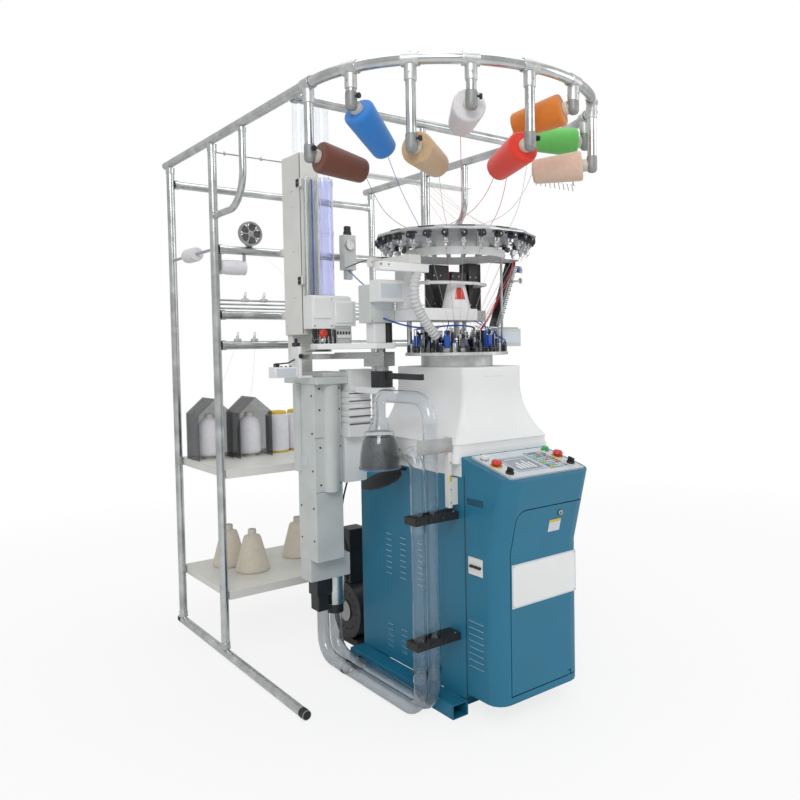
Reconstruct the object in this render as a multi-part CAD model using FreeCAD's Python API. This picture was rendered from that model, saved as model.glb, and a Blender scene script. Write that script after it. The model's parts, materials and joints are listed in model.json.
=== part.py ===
import FreeCAD, Part
import math
import os

# Circular sock knitting machine with its yarn creel and the toe-closing device beside it.
# Millimetres. The origin is on the floor under the needle cylinder's axis, +Z is up,
# +X runs along the console's front and +Y to the machine's rear, where the creel's shelves are.

V = FreeCAD.Vector

# ---- fits -------------------------------------------------------------------
SEAT = 0.3                  # gap left between pieces that rest on each other
SHAFT_FIT = 0.05            # radial clearance of a turning shaft
RUNNING = 2.0               # gap round a moving cover or wheel
SHEET = 3.0                 # steel sheet of the housings
PIN_SIDES = 8               # flat sides of the hinge pins, the lock barrel and their bores

# ---- base and cabinet -------------------------------------------------------
CABINET_HALF = 215.0        # half the cabinet's width
CABINET_FRONT = -290.0
CABINET_REAR = 435.0
CABINET_TOP = 895.0
RAIL_WIDE = 70.0            # floor rails beside the cabinet, open at both ends
RAIL_HIGH = 55.0
RAIL_WALL = 4.0
RAIL_FRONT = -306.0
CROSSBAR_HALF = 45.0        # half the length of each cross bar along Y
CROSSBAR_PLACES = (-200.0, 0.0, 380.0)
LOUVRE_LONG = 42.0
LOUVRE_HIGH = 9.0
LOUVRE_OUT = 4.0
LOUVRE_PITCH = 24.0
LOUVRE_COLUMNS = (215.0, 110.0, -15.0)
UPPER_LOUVRE_Z = 425.0
UPPER_LOUVRES = 8
LOWER_LOUVRE_Z = 110.0
LOWER_LOUVRES = 5
PLINTH_HIGH = 50.0
PLINTH_WALL = 25.0

# ---- head housing -----------------------------------------------------------
HOUSING_TOP = 1300.0
HOUSING_HALF = 150.0        # half its width along X at the top
HOUSING_HALF_Y = 235.0
FLARE_OUT = 90.0            # how far the rim stands out past the upper side walls
FLARE_OUT_Y = 55.0          # the same in front and behind, up to the console's back
FLARE_HIGH = 220.0
FLARE_STEPS = 5
RIM_HIGH = 70.0
HOUSING_WALL = 6.0

# ---- console ----------------------------------------------------------------
CONSOLE_BOTTOM = 80.0
CONSOLE_FRONT = -485.0
CONSOLE_KINK_Z = 630.0
CONSOLE_LIP_Y = -555.0
CONSOLE_LIP_Z = 905.0
CONSOLE_BACK_Z = 970.0
CONSOLE_CORNER = 60.0       # rounded front corners
CORNER_STEPS = 4
CONSOLE_WALL = 4.0
DOOR_LEFT = 65.0 - CABINET_HALF         # the console's front is wider at the left of its door
DOOR_RIGHT = CABINET_HALF - 22.0
DOOR_BOTTOM = 110.0
DOOR_TOP = 790.0
DOOR_CORNER = 40.0
DOOR_THICK = 12.0
DOOR_GAP = 4.0
HINGE_PIN = 8.0
PIN_REACH = 14.0            # how far a hinge pin stands into the door
LUG_WIDE = 12.0
LOCK_X = 70.0
LOCK_Z = 757.0
LOCK_DIAMETER = 22.0
LATCH_LONG = 42.0
BEZEL_THICK = 8.0
BEZEL_HALF = CABINET_HALF - 25.0
BEZEL_FROM = 20.0
BEZEL_TO = 252.0
SCREEN_DEEP = 3.0
SCREEN = (-112.0, 22.0, 62.0, 192.0)        # left, right, front and back on the panel
KEYPAD = (36.0, 132.0, 48.0, 214.0)
BUTTON_DIAMETER = 30.0
BUTTON_HIGH = 12.0
PUSH_TRAVEL = 4.0
MUSHROOM_DIAMETER = 40.0
MUSHROOM_HIGH = 20.0
CAP_SIDES = 10
STEM = 12.0                 # square stems of the push buttons
WHITE_BUTTON = (30.0 - BEZEL_HALF, 205.0)
LEFT_STOP = (28.0 - BEZEL_HALF, 135.0)
LEFT_KNOB = (30.0 - BEZEL_HALF, 62.0)
GREEN_BUTTON = (BEZEL_HALF - 28.0, 215.0)
RIGHT_STOP = (BEZEL_HALF - 28.0, 145.0)
RIGHT_KNOB = (BEZEL_HALF - 28.0, 72.0)
KNOB_DIAMETER = 32.0
KNOB_HIGH = 8.0
KNOB_RIDGE = 9.0
KNOB_RIDGE_HIGH = 14.0
HANDLE_Y0 = -413.0          # recessed handle in the console's side
HANDLE_Y1 = -318.0
HANDLE_Z0 = 785.0
HANDLE_Z1 = 822.0
BREAKER_Y0 = -405.0
BREAKER_Y1 = -318.0
BREAKER_Z0 = 538.0
BREAKER_Z1 = 606.0
BREAKER_INSET = 2.0
BREAKER_DEEP = 30.0
BREAKER_EDGE = 10.0
LEVER_OUT = 9.0
LEVER_HIGH = 10.0
LEVER_SLOT = 24.0
LEVER_SLOT_DEEP = 16.0
SIDE_LOUVRE_Z = 198.0
SIDE_LOUVRES = 8

# ---- knitting head ----------------------------------------------------------
CYLINDER_DIAMETER = 96.0    # needle cylinder of a sock machine
CYLINDER_BORE = 80.0
CYLINDER_TOP = 1400.0
BED_DIAMETER = 300.0
BED_TOP = 1345.0
PLATE_DIAMETER = 430.0
PLATE_TOP = 1358.0
CAM_RING_DIAMETER = 230.0
CAM_RING_TOP = 1400.0
CAM_BOXES = 18
CAM_BOX_REACH = 185.0       # how far out the cam boxes stand
CAM_BOX_WIDE = 34.0
CAM_BOX_TOPS = (1432.0, 1418.0, 1446.0)
DIAL_THICK = 10.0
DIAL_LIFT = 4.0             # the dial turns this far above the needle cylinder
DIAL_SHAFT = 24.0
PLATFORM_BOTTOM = 1487.0
PLATFORM_TOP = 1535.0
PLATFORM_PLAN = ((-205.0, -60.0), (65.0, -60.0), (65.0, 60.0), (212.0, 60.0), (212.0, 208.0), (-205.0, 208.0))
DIAL_COVER_TOP = 1650.0
DIAL_COVER_WIDE = 120.0
DIAL_COVER_NARROW = 70.0
DIAL_COVER_EDGE = (12.0, 15.0)      # its top edge slopes in and down
DRIVE_FRONT = 84.0
DRIVE_BLOCKS = ((-58.0, 30.0, 140.0, 15.0), (40.0, 126.0, 140.0, 40.0),      # left, right, rear and
                (136.0, 206.0, 150.0, 0.0))                                  # gap below the guide ring
SIDE_POST = (-203.0, -150.0, 80.0, 150.0)       # carries the arm over the head's left side
SIDE_BOX = (-327.0, 1564.0, 1652.0)             # left, bottom and top of the box beside it
HEAD_ARM_Z = (1700.0, 1735.0)
HEAD_ARM_END = (-360.0, 110.0)                  # left end and rear
CROSS_ARM = (-305.0, -250.0, -105.0)            # left, right and front end
HOSE_ARM = (-440.0, -215.0, -108.0, -74.0, 1668.0)
CAM_SIDE_BOX = (192.0, 325.0, -42.0, 45.0, 1378.0, 1455.0)
CAM_SIDE_FOOT = (19.0, 40.0)                    # length and width
HEAD_POST = 22.0
HEAD_POST_REACH = 197.0
POST_ANGLES = (42.0, 100.0, 152.0)
FRONT_POST_ANGLE = -25.0
FEEDER_ACROSS = 666.0       # twelve-sided feeder plate, corner to corner
FEEDER_BOTTOM = 1820.0
FEEDER_TOP = 1842.0
FEEDER_RIM = 8.0
FEEDER_BEVEL = 40.0
SENSORS = 28
SENSOR_WIDE = 22.0
SENSOR_DEEP = 52.0
SENSOR_EYE = 30.0
SENSOR_TOP_HIGH = 22.0
SENSOR_HIGH = 62.0
GUIDE_RING_DIAMETER = 410.0
GUIDE_RING_WALL = 10.0
GUIDE_RING_BOTTOM = 1740.0
GUIDE_RING_TOP = 1772.0
RING_SIDES = 20
COMB_TOP_X = 318.0          # slanted thread comb under the feeder plate's rim
COMB_FOOT = (214.0, 1462.0)
COMB_TEETH = 14
COMB_WIDE = 48.0
COMB_THICK = 16.0
HOSE_DIAMETER = 42.0
HOSE_BORE = 28.0
HOSE_RIBS = 8
RIB_DEEP = 4.0
HOSE_ROUTE = ((-262.0, -91.0, 1668.0), (-292.0, -91.0, 1590.0), (-250.0, -75.0, 1500.0), (-147.0, -62.0, 1418.0))

# ---- drive inside the housing -----------------------------------------------
MOTOR_DIAMETER = 150.0
MOTOR_LONG = 210.0
MOTOR_Y = 140.0
MOTOR_PULLEY = 60.0
CYLINDER_PULLEY = 120.0
PULLEY_BOTTOM = 1150.0
PULLEY_WIDE = 30.0
BELT_WIDE = 24.0
BELT_THICK = 5.0
MOTOR_SHAFT = 24.0
DRIVE_PLATE_TOP = 1120.0
DRIVE_PLATE_THICK = 12.0

# ---- creel ------------------------------------------------------------------
TUBE = 38.0                 # bright steel tube, twelve flat sides across its corners
TUBE_SIDES = 12
RING_Z = 2300.0
RING_RADIUS = 579.0
RING_X = -115.0
RING_Y = -85.0
RING_END_Y = 1450.0
RING_LAST_CORNER = 346.5
RING_BEND_Y = -115.3        # where the ring's straight sides begin to bend
POST_Y = 835.0
REAR_POST_Y = 1389.0
FOOT_FRONT_Y = 53.0
CROSS_TUBE_Y = 90.0
REAR_RAIL_Z = 2200.0
UPPER_RAIL_Z = 1825.0
MIDDLE_RAIL_Z = 1535.0
LOWER_RAIL_Z = 1400.0
HOOK_ROD = 9.0
HOOK_ROD_HEIGHTS = (1565.0, 1583.0, 1601.0, 2250.0)
SIDE_ROD = 14.0
BRACE_TUBE = 30.0
BRACE_Y = 505.0
BRACE_BEND = 150.0
BRACE_END_Z = 1970.0
TEE_ANGLES = (178.5, 200.8, 222.1, 241.5, 262.2, 284.5, 307.7, 330.0)
TEE_TURN = 5.4              # half the ring's angle that one straight piece under a tee spans
HUB_HEIGHTS = (2060.0, 2193.0, 2035.0, 2170.0, 2056.0, 2217.0, 2061.0, 2200.0)
PACKAGE_TILTS = (-8.0, -32.0, -6.0, -4.0, -12.0, -12.0, -5.0, 2.0)
PACKAGE_TURNS = (-4.0, -2.0, -10.0, 4.0, 6.0, 26.0, 20.0, 12.0)
TEE_LONG = 58.0
TEE_ACROSS = 48.0
TEE_DROP = 34.0
HOLDER_WIDE = 40.0
HOLDER_HIGH = 62.0
HUB_DIAMETER = 46.0
HUB_THICK = 16.0
PACKAGE_LONG = 190.0
PACKAGE_BUTT = 112.0
PACKAGE_TIP = 88.0
PACKAGE_BEVEL = 12.0
SHELF_LOW_Z = 295.0
SHELF_HIGH_Z = 843.0
SHELF_THICK = 38.0
BOBBIN_PLACES = ((-586.0, 1250.0), (-402.0, 1200.0), (-237.0, 1230.0), (-118.0, 1250.0))
BOBBIN_DIAMETER = 124.0
BOBBIN_HIGH = 222.0
BOBBIN_SHOULDER = 190.0
COVERED_BOBBINS = 2
COVER_HALF = 85.0
COVER_EAVES = 225.0
COVER_PEAK = 300.0
CONE_PLACES = ((-458.0, 1068.0), (-505.0, 1244.0), (-168.0, 1166.0))
CONE_BUTT = 164.0
CONE_SHOULDER = 84.0
CONE_SHOULDER_HIGH = 170.0
CONE_TIP = 42.0
CONE_HIGH = 205.0
WHEEL_X = -535.0            # yarn wheel above the upper rail
WHEEL_Z = 1902.0
WHEEL_DIAMETER = 112.0
WHEEL_THICK = 16.0
WHEEL_AXLE = 12.0
WHEEL_WINDOWS = 5
SPOOL_X0 = -668.0          # elastic spool under the upper rail
SPOOL_X1 = -562.0
SPOOL_Z = 1748.0
SPOOL_DIAMETER = 72.0
SPOOL_AXLE = 14.0
HANGER = 5.0
SIDE_SPOOL_Y = 1050.0
SIDE_SPOOL_LONG = 130.0
HANGING_POST = 25.0
HANGING_POST_X = -92.0
STRIP_Z = 2066.0
STRIP_X0 = -420.0
STRIP_X1 = 170.0
STRIP_WIDE = 70.0
RACK_ANGLE = 341.0          # toothed yarn rack under the ring's right side
RACK_Z = 2050.0
RACK_LONG = 240.0
RACK_TEETH = 9
RACK_HIGH = 14.0
TOOTH_LONG = 26.0
RACK_THICK = 4.0

# ---- toe-closing device -----------------------------------------------------
STATION_X = -390.0          # where the sock is linked
STATION_Y = 470.0
PIVOT_X = -250.0
PIVOT_Y = 190.0
PIVOT_POST = 36.0
PIVOT_COLLAR = 60.0
RING_DISC = 210.0
RING_DISC_BORE = 110.0
RING_DISC_BOTTOM = 1335.0
RING_DISC_TOP = 1356.0
ARM_BOTTOM = 1303.0
ARM_TOP = 1362.0
ARM_WIDE = 90.0
ARM_NARROW = 52.0
COVER_PLATE_Z = 1376.0
COVER_PLATE_THICK = 24.0
COVER_PLATE_PLAN = ((-455.0, 420.0), (-352.0, 398.0), (-340.0, 420.0), (-290.0, 420.0), (-200.0, 165.0),
                    (-215.0, 135.0), (-300.0, 150.0), (-455.0, 350.0))
DUCT_LEFT = -455.0
DUCT_RIGHT = -325.0
DUCT_FRONT = 400.0
DUCT_REAR = 555.0
DUCT_BOTTOM = 470.0
DUCT_TOP = 1230.0
DUCT_ROUND = 72.0           # half-round cover on the duct's front
ROUND_SHIFT = 12.0          # it stands this far right of the duct's middle
ROUND_BOTTOM = 768.0
DUCT_FLANGE = (20.0, 35.0, 850.0)       # width, depth and bottom of the flange at the left rear
CAP_THICK = 30.0
CAP_SIDE = 8.0              # how far the cap stands out at the sides
CAP_FRONT = 44.0
UPPER_CAP = (30.0, 10.0, 30.0, 20.0)    # set in at the left, out at the right and in front, and its height
COLLECTOR_FRONT = 462.0     # box under the duct; valves and the filter hang from it
COLLECTOR_HIGH = 99.0
COLLECTOR_Z = DUCT_BOTTOM - COLLECTOR_HIGH
VALVE = (-47.0, 18.0, -39.0, 41.0, 71.0)        # about the outer pipe: left, right, front, rear and height
VALVE_FOOT = (-40.0, 12.0, -35.0, 35.0, 68.0)
VALVE_Z = COLLECTOR_Z - VALVE[4]
FILTER = 84.0
FILTER_LONG = 126.0
FILTER_SOCKET = 72.0
FILTER_SOCKET_LONG = 40.0
PIPE = 55.0                 # clear transport pipe
PIPE_SIDES = 8
FLOOR_PIPE_Z = 30.0
OUTER_PIPE_X = -378.0
INNER_PIPE_X = -316.0
PIPE_FRONT_Y = -235.0
PIPE_REAR_Y = 505.0         # where both pipes come down
PIPE_BEND = 90.0
PIPE_CROSS_Z = 1190.0
OUTER_PIPE_TOP = 960.0
ELBOW = (10.0, 40.0)        # the outer pipe's last piece leans left, and back and up
CLAMP_HEIGHTS = (290.0, 750.0)          # saddle clamps on the console's side
CLAMP_REACH = 36.0
CLAMP_HIGH = 28.0
STRAP = (-256.0, -241.0, -266.0, -240.0, 780.0, 1050.0)
STRAP_TAB = (790.0, 890.0)              # heights of the tab that fixes the strap to the console
PIPE_TIE = (-400.0, -269.0, 990.0, 1045.0)      # thin plate from the strap over the pipes
BELL_X = -330.0
BELL_Y = 90.0
BELL_BOTTOM = 895.0
BELL_TOP = 1100.0
BELL_DIAMETER = 172.0
BELL_WALL = 4.0
BELL_PROFILE = ((86.0, 0.0), (80.0, 65.0), (60.0, 145.0), (42.0, 165.0), (34.0, 205.0))
FLAP_TILT = -20.0
FLAP_PIN = 6.0
FLAP_OUT = 14.0             # its hinge stands this far off the cabinet
FLAP_DROP = 10.0            # and this far below the bell
FLAP_THICK = 4.0
TONGUE_WIDE = 28.0
TONGUE_FROM = 60.0
COLUMN_LEFT = -450.0
COLUMN_RIGHT = -362.0
COLUMN_FRONT = 490.0
COLUMN_REAR = 660.0
COLUMN_BOTTOM = 1440.0
COLUMN_TOP = 2215.0
COLUMN_FOOT = (-440.0, -345.0, 615.0)           # left, right and front of the post under the channel
COLUMN_STAY = 30.0          # square stays to the creel's rails
TUBE_STAY_Z = 1930.0
HINGE_HEIGHTS = (1655.0, COLUMN_TOP - 145.0)
LUG_OUT = 6.0
LUG_IN = 8.0
HINGE_BARREL = 10.0
BARREL_HIGH = 34.0
DOOR_PIN = 5.0
LEAF_BACK = 8.0             # the column door's leaf starts this far behind the column's front
HEAD_BOTTOM = 1463.0        # linking head
HEAD_TOP = 1600.0
HEAD_RIGHT = -262.0
HEAD_FRONT = DUCT_FRONT + 5.0
HEAD_REAR = 615.0
HEAD_GAP = 4.0              # between the head's rear part and the column
TERMINAL_BOX = (-352.0, -252.0, 385.0, 1475.0, 1582.0)
HEAD_FOOT = (-345.0, -265.0, 400.0, 470.0)
LINKING_SHAFT = 24.0
LINKING_BEARING = 57.0
LINKING_PROFILE = ((52.0, 1366.0), (56.0, 1370.0), (40.0, 1404.0))
BUTTON_PLATE = (-440.0, -360.0, 1425.0)         # left, right and bottom
BUTTON_PLATE_Y = DUCT_FRONT + 20.0
BUTTON_PLATE_THICK = 10.0
TOE_BUTTON_X = STATION_X - 10.0
TOE_BUTTON_Z = 1442.0
TOE_STEM_LONG = 18.0
ARM_TAIL = 38.0             # the swing arm's beam: behind the pivot, and where it begins to narrow
ARM_SHOULDER = 30.0
ARM_SEAM = 6.0
FRAME_LEFT = -322.0         # drive housings behind the cabinet's left side
FRAME_FRONT = 335.0
FRAME_REAR = 430.0
FRAME_LEG = (380.0, 800.0)  # front and bottom of the lowest one
FRAME_FLANGE = (1000.0, 1036.0)
FLANGE_OUT = (3.0, 2.0)     # to the left and to the rear
FIN_TOP = 1200.0
FINS = 6
FIN_GROOVE = 6.0
FRAME_HEAD = (-315.0, -175.0, 1288.0)           # left, right and top
ARM_BRACKET = (-292.0, -212.0, 150.0, 1190.0)   # left, right, front and bottom
BRACKET_TOP = 1216.0
LEVER_HUB = 92.0
LEVER_HUB_TOP = 1283.0
LEVER_BAR = (24.0, -95.0, 1252.0, 1276.0)       # width, front end, bottom and top
LIFT_BLOCK = (-300.0, -245.0, 160.0, 225.0)
DAMPER_PLACE = (-222.0, 180.0)
LIFT_COVER = (-325.0, -205.0, 150.0, 240.0, 1482.0, 1637.0)
THIN_TUBES = (-430.0, -402.0, -374.0)
THIN_TUBE = 24.0
THIN_TUBE_Y = 474.0
THIN_TUBE_TOP = COLUMN_TOP - 105.0
LILAC_TUBE = 84.0
LILAC_X = -310.0
LILAC_Y = 545.0
LILAC_TOP = COLUMN_TOP - 90.0
ARCH_TUBE = 58.0
ARCH_X = -406.0
ARCH_Y = 575.0
ARCH_TOP = 2495.0
BLOWER_DIAMETER = 260.0
BLOWER_Y = 600.0
BLOWER_Z = 160.0
BLOWER_X = (-210.0, -90.0)
BLOWER_INSET = 10.0
BLOWER_FOOT = 160.0
BLOWER_TIE = 40.0           # bar from the cabinet's back to the blower
BLOWER_MOTOR = (-30.0, 60.0, 540.0)     # front and rear about its axis, and top
REGULATOR = (-82.0, -14.0, 46.0, 1760.0, 1930.0)        # left, right, depth, bottom and top
REGULATOR_BOWL = (-66.0, -30.0, 8.0, 1715.0)            # left, right, set in by, and bottom


# ---- small shape helpers ----------------------------------------------------
def box(x0, x1, y0, y1, z0, z1):
    return Part.makeBox(x1 - x0, y1 - y0, z1 - z0, V(x0, y0, z0))


def polar(radius, angle):
    return radius * math.cos(math.radians(angle)), radius * math.sin(math.radians(angle))


def flat_to_axis(diameter, sides=TUBE_SIDES):
    # distance from the axis to a flat side of a bar measured across its corners
    return diameter / 2 * math.cos(math.pi / sides)


def bore_across(diameter, clearance, sides=TUBE_SIDES):
    # corner diameter of a flat-sided bore that clears a bar of the given corner diameter
    return (diameter + 2 * clearance) / math.cos(math.pi / sides)


def prism(points, way):
    corners = [V(*p) for p in points]
    return Part.Face(Part.makePolygon(corners + corners[:1])).extrude(V(*way))


def prism_up(points, z0, z1):
    return prism([(x, y, z0) for x, y in points], (0, 0, z1 - z0))


def prism_along_x(points, x0, x1):
    return prism([(x0, y, z) for y, z in points], (x1 - x0, 0, 0))


def prism_along_y(points, y0, y1):
    return prism([(x, y0, z) for x, z in points], (0, y1 - y0, 0))


def frame_at(start, way):
    # a placement whose Z axis follows the given direction
    return FreeCAD.Placement(V(*start), FreeCAD.Rotation(V(0, 0, 1), V(*way)))


def flat_faces(a, b, c, d):
    # one face if the four corners lie in a plane, else two triangles
    if abs((b - a).cross(d - a).dot(c - a)) < 0.001:
        return [Part.Face(Part.makePolygon([a, b, c, d, a]))]
    return [Part.Face(Part.makePolygon([a, b, c, a])), Part.Face(Part.makePolygon([a, c, d, a]))]


def skin(rings):
    # a solid through rings of corners, each ring joined to the next with flat faces
    count = len(rings[0])
    faces = [Part.Face(Part.makePolygon(rings[0] + rings[0][:1])),
             Part.Face(Part.makePolygon(rings[-1] + rings[-1][:1]))]
    for low, high in zip(rings, rings[1:]):
        for i in range(count):
            j = (i + 1) % count
            faces += flat_faces(low[i], low[j], high[j], high[i])
    shell = Part.Shell(faces)
    shell.sewShape()
    solid = Part.Solid(shell)
    if solid.Volume < 0:
        solid.reverse()
    return solid


def faceted(profile, sides, start, way=(0, 0, 1)):
    # a flat-sided turned piece; its profile is (radius to the corners, height)
    place = frame_at(start, way)
    rings = []
    for radius, height in profile:
        rings.append([place.multVec(V(*polar(radius, 360 * (i + 0.5) / sides), height)) for i in range(sides)])
    return skin(rings)


def tube(points, diameter, sides=TUBE_SIDES, first_normal=None):
    # straight flat-sided pieces joined at mitred corners
    path = [V(*p) for p in points]
    ways = [(b - a).normalize() for a, b in zip(path, path[1:])]
    place = frame_at(points[0], tuple(ways[0]))
    ring = [place.multVec(V(*polar(diameter / 2, 360 * (i + 0.5) / sides), 0)) for i in range(sides)]
    if first_normal is not None:
        ring = [p + ways[0] * ((path[0] - p).dot(first_normal) / ways[0].dot(first_normal)) for p in ring]
    rings = [ring]
    for i, way in enumerate(ways):
        normal = way if i == len(ways) - 1 else (way + ways[i + 1]).normalize()
        ring = [p + way * ((path[i + 1] - p).dot(normal) / way.dot(normal)) for p in ring]
        rings.append(ring)
    return skin(rings)


def post(x, y, z0, z1, diameter, sides=TUBE_SIDES):
    return tube([(x, y, z0), (x, y, z1)], diameter, sides)


def round_post(x, y, z0, z1, diameter):
    return Part.makeCylinder(diameter / 2, z1 - z0, V(x, y, z0))


def bend_points(centre, radius, start_angle, end_angle, steps, place):
    # corners of a bend; place turns two numbers in the bend's plane into x, y, z
    found = []
    step = (end_angle - start_angle) / steps
    corner = radius / math.cos(math.radians(step / 2))
    for i in range(steps):
        u, w = polar(corner, start_angle + step * (i + 0.5))
        found.append(place(centre[0] + u, centre[1] + w))
    return found


def group(pieces):
    return Part.makeCompound(pieces)


def turned_about_axis(shape, angle):
    copy = shape.copy()
    copy.rotate(V(0, 0, 0), V(0, 0, 1), angle)
    return copy


# ---- base and cabinet -------------------------------------------------------
def base_frame():
    # two open floor rails joined by flat cross bars under the cabinet
    pieces = []
    for side in (-1, 1):
        x0, x1 = sorted((side * CABINET_HALF, side * (CABINET_HALF + RAIL_WIDE)))
        for z in (0, RAIL_HIGH - RAIL_WALL):
            pieces.append(box(x0, x1, RAIL_FRONT, CABINET_REAR, z, z + RAIL_WALL))
        for x in (x0, x1 - RAIL_WALL):
            pieces.append(box(x, x + RAIL_WALL, RAIL_FRONT, CABINET_REAR, RAIL_WALL, RAIL_HIGH - RAIL_WALL))
    for y in CROSSBAR_PLACES:
        pieces.append(box(-CABINET_HALF, CABINET_HALF, y - CROSSBAR_HALF, y + CROSSBAR_HALF, 0, RAIL_HIGH))
    return group(pieces)


def cabinet():
    return box(-CABINET_HALF, CABINET_HALF, CABINET_FRONT, CABINET_REAR, RAIL_HIGH, CABINET_TOP)


def louvre(y0, y1, z):
    # pressed hood that stands off the sheet below its slit
    side = -CABINET_HALF
    return prism_along_y([(side, z), (side - LOUVRE_OUT, z), (side, z + LOUVRE_HIGH)], y0, y1)


def side_louvres():
    hoods = []
    for base_z, count in ((UPPER_LOUVRE_Z, UPPER_LOUVRES), (LOWER_LOUVRE_Z, LOWER_LOUVRES)):
        for y in LOUVRE_COLUMNS:
            hoods += [louvre(y - LOUVRE_LONG / 2, y + LOUVRE_LONG / 2, base_z + i * LOUVRE_PITCH)
                      for i in range(count)]
    hoods += [louvre(BREAKER_Y0, BREAKER_Y1, SIDE_LOUVRE_Z + i * LOUVRE_PITCH) for i in range(SIDE_LOUVRES)]
    return group(hoods)


def cabinet_plinth():
    z1 = CABINET_TOP + PLINTH_HIGH
    block = box(-CABINET_HALF, CABINET_HALF, CABINET_FRONT, CABINET_REAR, CABINET_TOP, z1)
    neck = box(-HOUSING_HALF, HOUSING_HALF, -HOUSING_HALF_Y, HOUSING_HALF_Y, CABINET_TOP, z1)
    return block.cut(neck)


def flared_outline(half, out):
    # one wall outline as (distance from the axis, height), from the rim up both flares
    radius = (out ** 2 + FLARE_HIGH ** 2) / (2 * out)
    sweep = math.asin(FLARE_HIGH / radius)
    rim_z = CABINET_TOP + PLINTH_HIGH
    head_z = rim_z + RIM_HIGH + FLARE_HIGH
    right = [(half + out, rim_z)]
    for i in range(FLARE_STEPS + 1):
        turn = sweep * (1 - i / FLARE_STEPS)
        right.append((half + radius * (1 - math.cos(turn)), head_z - radius * math.sin(turn)))
    right.append((half, HOUSING_TOP))
    return right + [(-u, z) for u, z in reversed(right)]


def head_housing():
    # the two flared walls meet in mitred corners
    reach_x = HOUSING_HALF + FLARE_OUT
    reach_y = HOUSING_HALF_Y + FLARE_OUT_Y
    outer = prism_along_y(flared_outline(HOUSING_HALF, FLARE_OUT), -reach_y, reach_y).common(
        prism_along_x(flared_outline(HOUSING_HALF_Y, FLARE_OUT_Y), -reach_x, reach_x))
    inner = box(-HOUSING_HALF + HOUSING_WALL, HOUSING_HALF - HOUSING_WALL, -HOUSING_HALF_Y + HOUSING_WALL,
                HOUSING_HALF_Y - HOUSING_WALL, CABINET_TOP, HOUSING_TOP - HOUSING_WALL)
    throat = post(0, 0, HOUSING_TOP - 2 * HOUSING_WALL, HOUSING_TOP + 1, bore_across(CYLINDER_DIAMETER, RUNNING))
    return outer.cut([inner, throat])


# ---- console ----------------------------------------------------------------
FRONT_SLOPE = (CONSOLE_LIP_Y - CONSOLE_FRONT) / (CONSOLE_LIP_Z - CONSOLE_KINK_Z)
TOP_SLOPE = (CONSOLE_BACK_Z - CONSOLE_LIP_Z) / (CABINET_FRONT - CONSOLE_LIP_Y)
DOOR_AXIS_Y = CONSOLE_FRONT + DOOR_THICK / 2
DOOR_AXIS_Z = DOOR_BOTTOM + DOOR_THICK / 2
FLAT_RIGHT = CABINET_HALF - CONSOLE_CORNER      # where the front's right corner begins to round
PANEL_PLACE = FreeCAD.Placement(V(0, CONSOLE_LIP_Y, CONSOLE_LIP_Z),
                                FreeCAD.Rotation(V(1, 0, 0), math.degrees(math.atan(TOP_SLOPE))))
PUSH_PLACES = (WHITE_BUTTON, LEFT_STOP, GREEN_BUTTON, RIGHT_STOP)


def console_form(shrink=0.0):
    # upright below the kink, leaning forward above it, with rounded front corners
    half = CABINET_HALF - shrink
    corner = CONSOLE_CORNER - shrink
    back = CABINET_FRONT - shrink
    front = CONSOLE_FRONT + shrink
    plan = [(-half, back), (half, back)]
    for centre_x, first in ((half - corner, 0), (corner - half, -90)):
        for i in range(CORNER_STEPS + 1):
            dx, dy = polar(corner, first - 90 * i / CORNER_STEPS)
            plan.append((centre_x + dx, front + corner + dy))
    top = []
    for x, y in plan:
        lean = 0 if y == back else FRONT_SLOPE
        reach = y - lean * CONSOLE_KINK_Z - CONSOLE_LIP_Y
        z = (CONSOLE_LIP_Z - shrink + TOP_SLOPE * reach) / (1 - TOP_SLOPE * lean)
        top.append(V(x, y + lean * (z - CONSOLE_KINK_Z), z))
    return skin([[V(x, y, CONSOLE_BOTTOM + shrink) for x, y in plan],
                 [V(x, y, CONSOLE_KINK_Z) for x, y in plan], top])


def door_bar(margin):
    # the door's front view, rounded at its upper left corner, as a bar through the console's front
    left, right = DOOR_LEFT - margin, DOOR_RIGHT + margin
    bottom, top = DOOR_BOTTOM - margin, DOOR_TOP + margin
    corner = DOOR_CORNER + margin
    points = [(right, top), (right, bottom), (left, bottom)]
    for i in range(CORNER_STEPS + 1):
        dx, dz = polar(corner, 180 - 90 * i / CORNER_STEPS)
        points.append((left + corner + dx, top - corner + dz))
    return prism_along_y(points, CONSOLE_LIP_Y - 1, CONSOLE_FRONT + 2 * DOOR_THICK)


def on_panel(shape):
    # from the panel's own frame: x across, y up the slope, z out of it
    moved = shape.copy()
    moved.Placement = PANEL_PLACE.multiply(moved.Placement)
    return moved


def panel_bar(place, width, z0, z1):
    half = width / 2
    return box(place[0] - half, place[0] + half, place[1] - half, place[1] + half, z0, z1)


def stem_holes():
    across = STEM + 2 * SEAT
    return [on_panel(panel_bar(place, across, -4 * CONSOLE_WALL, BEZEL_THICK + 1)) for place in PUSH_PLACES]


def hinge_lug(x, side):
    # block behind the shell's front wall, with a pin that points back across x into the door
    x0, x1 = sorted((x, x + side * LUG_WIDE))
    wall = CONSOLE_FRONT + CONSOLE_WALL
    foot = DOOR_BOTTOM - DOOR_GAP - HINGE_PIN
    return [box(x0, x1, wall - 1, DOOR_AXIS_Y + HINGE_PIN, foot, DOOR_AXIS_Z + HINGE_PIN),
            tube([(x + side * LUG_WIDE / 2, DOOR_AXIS_Y, DOOR_AXIS_Z),
                  (x - side * (DOOR_GAP + PIN_REACH), DOOR_AXIS_Y, DOOR_AXIS_Z)], HINGE_PIN, PIN_SIDES)]


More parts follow.
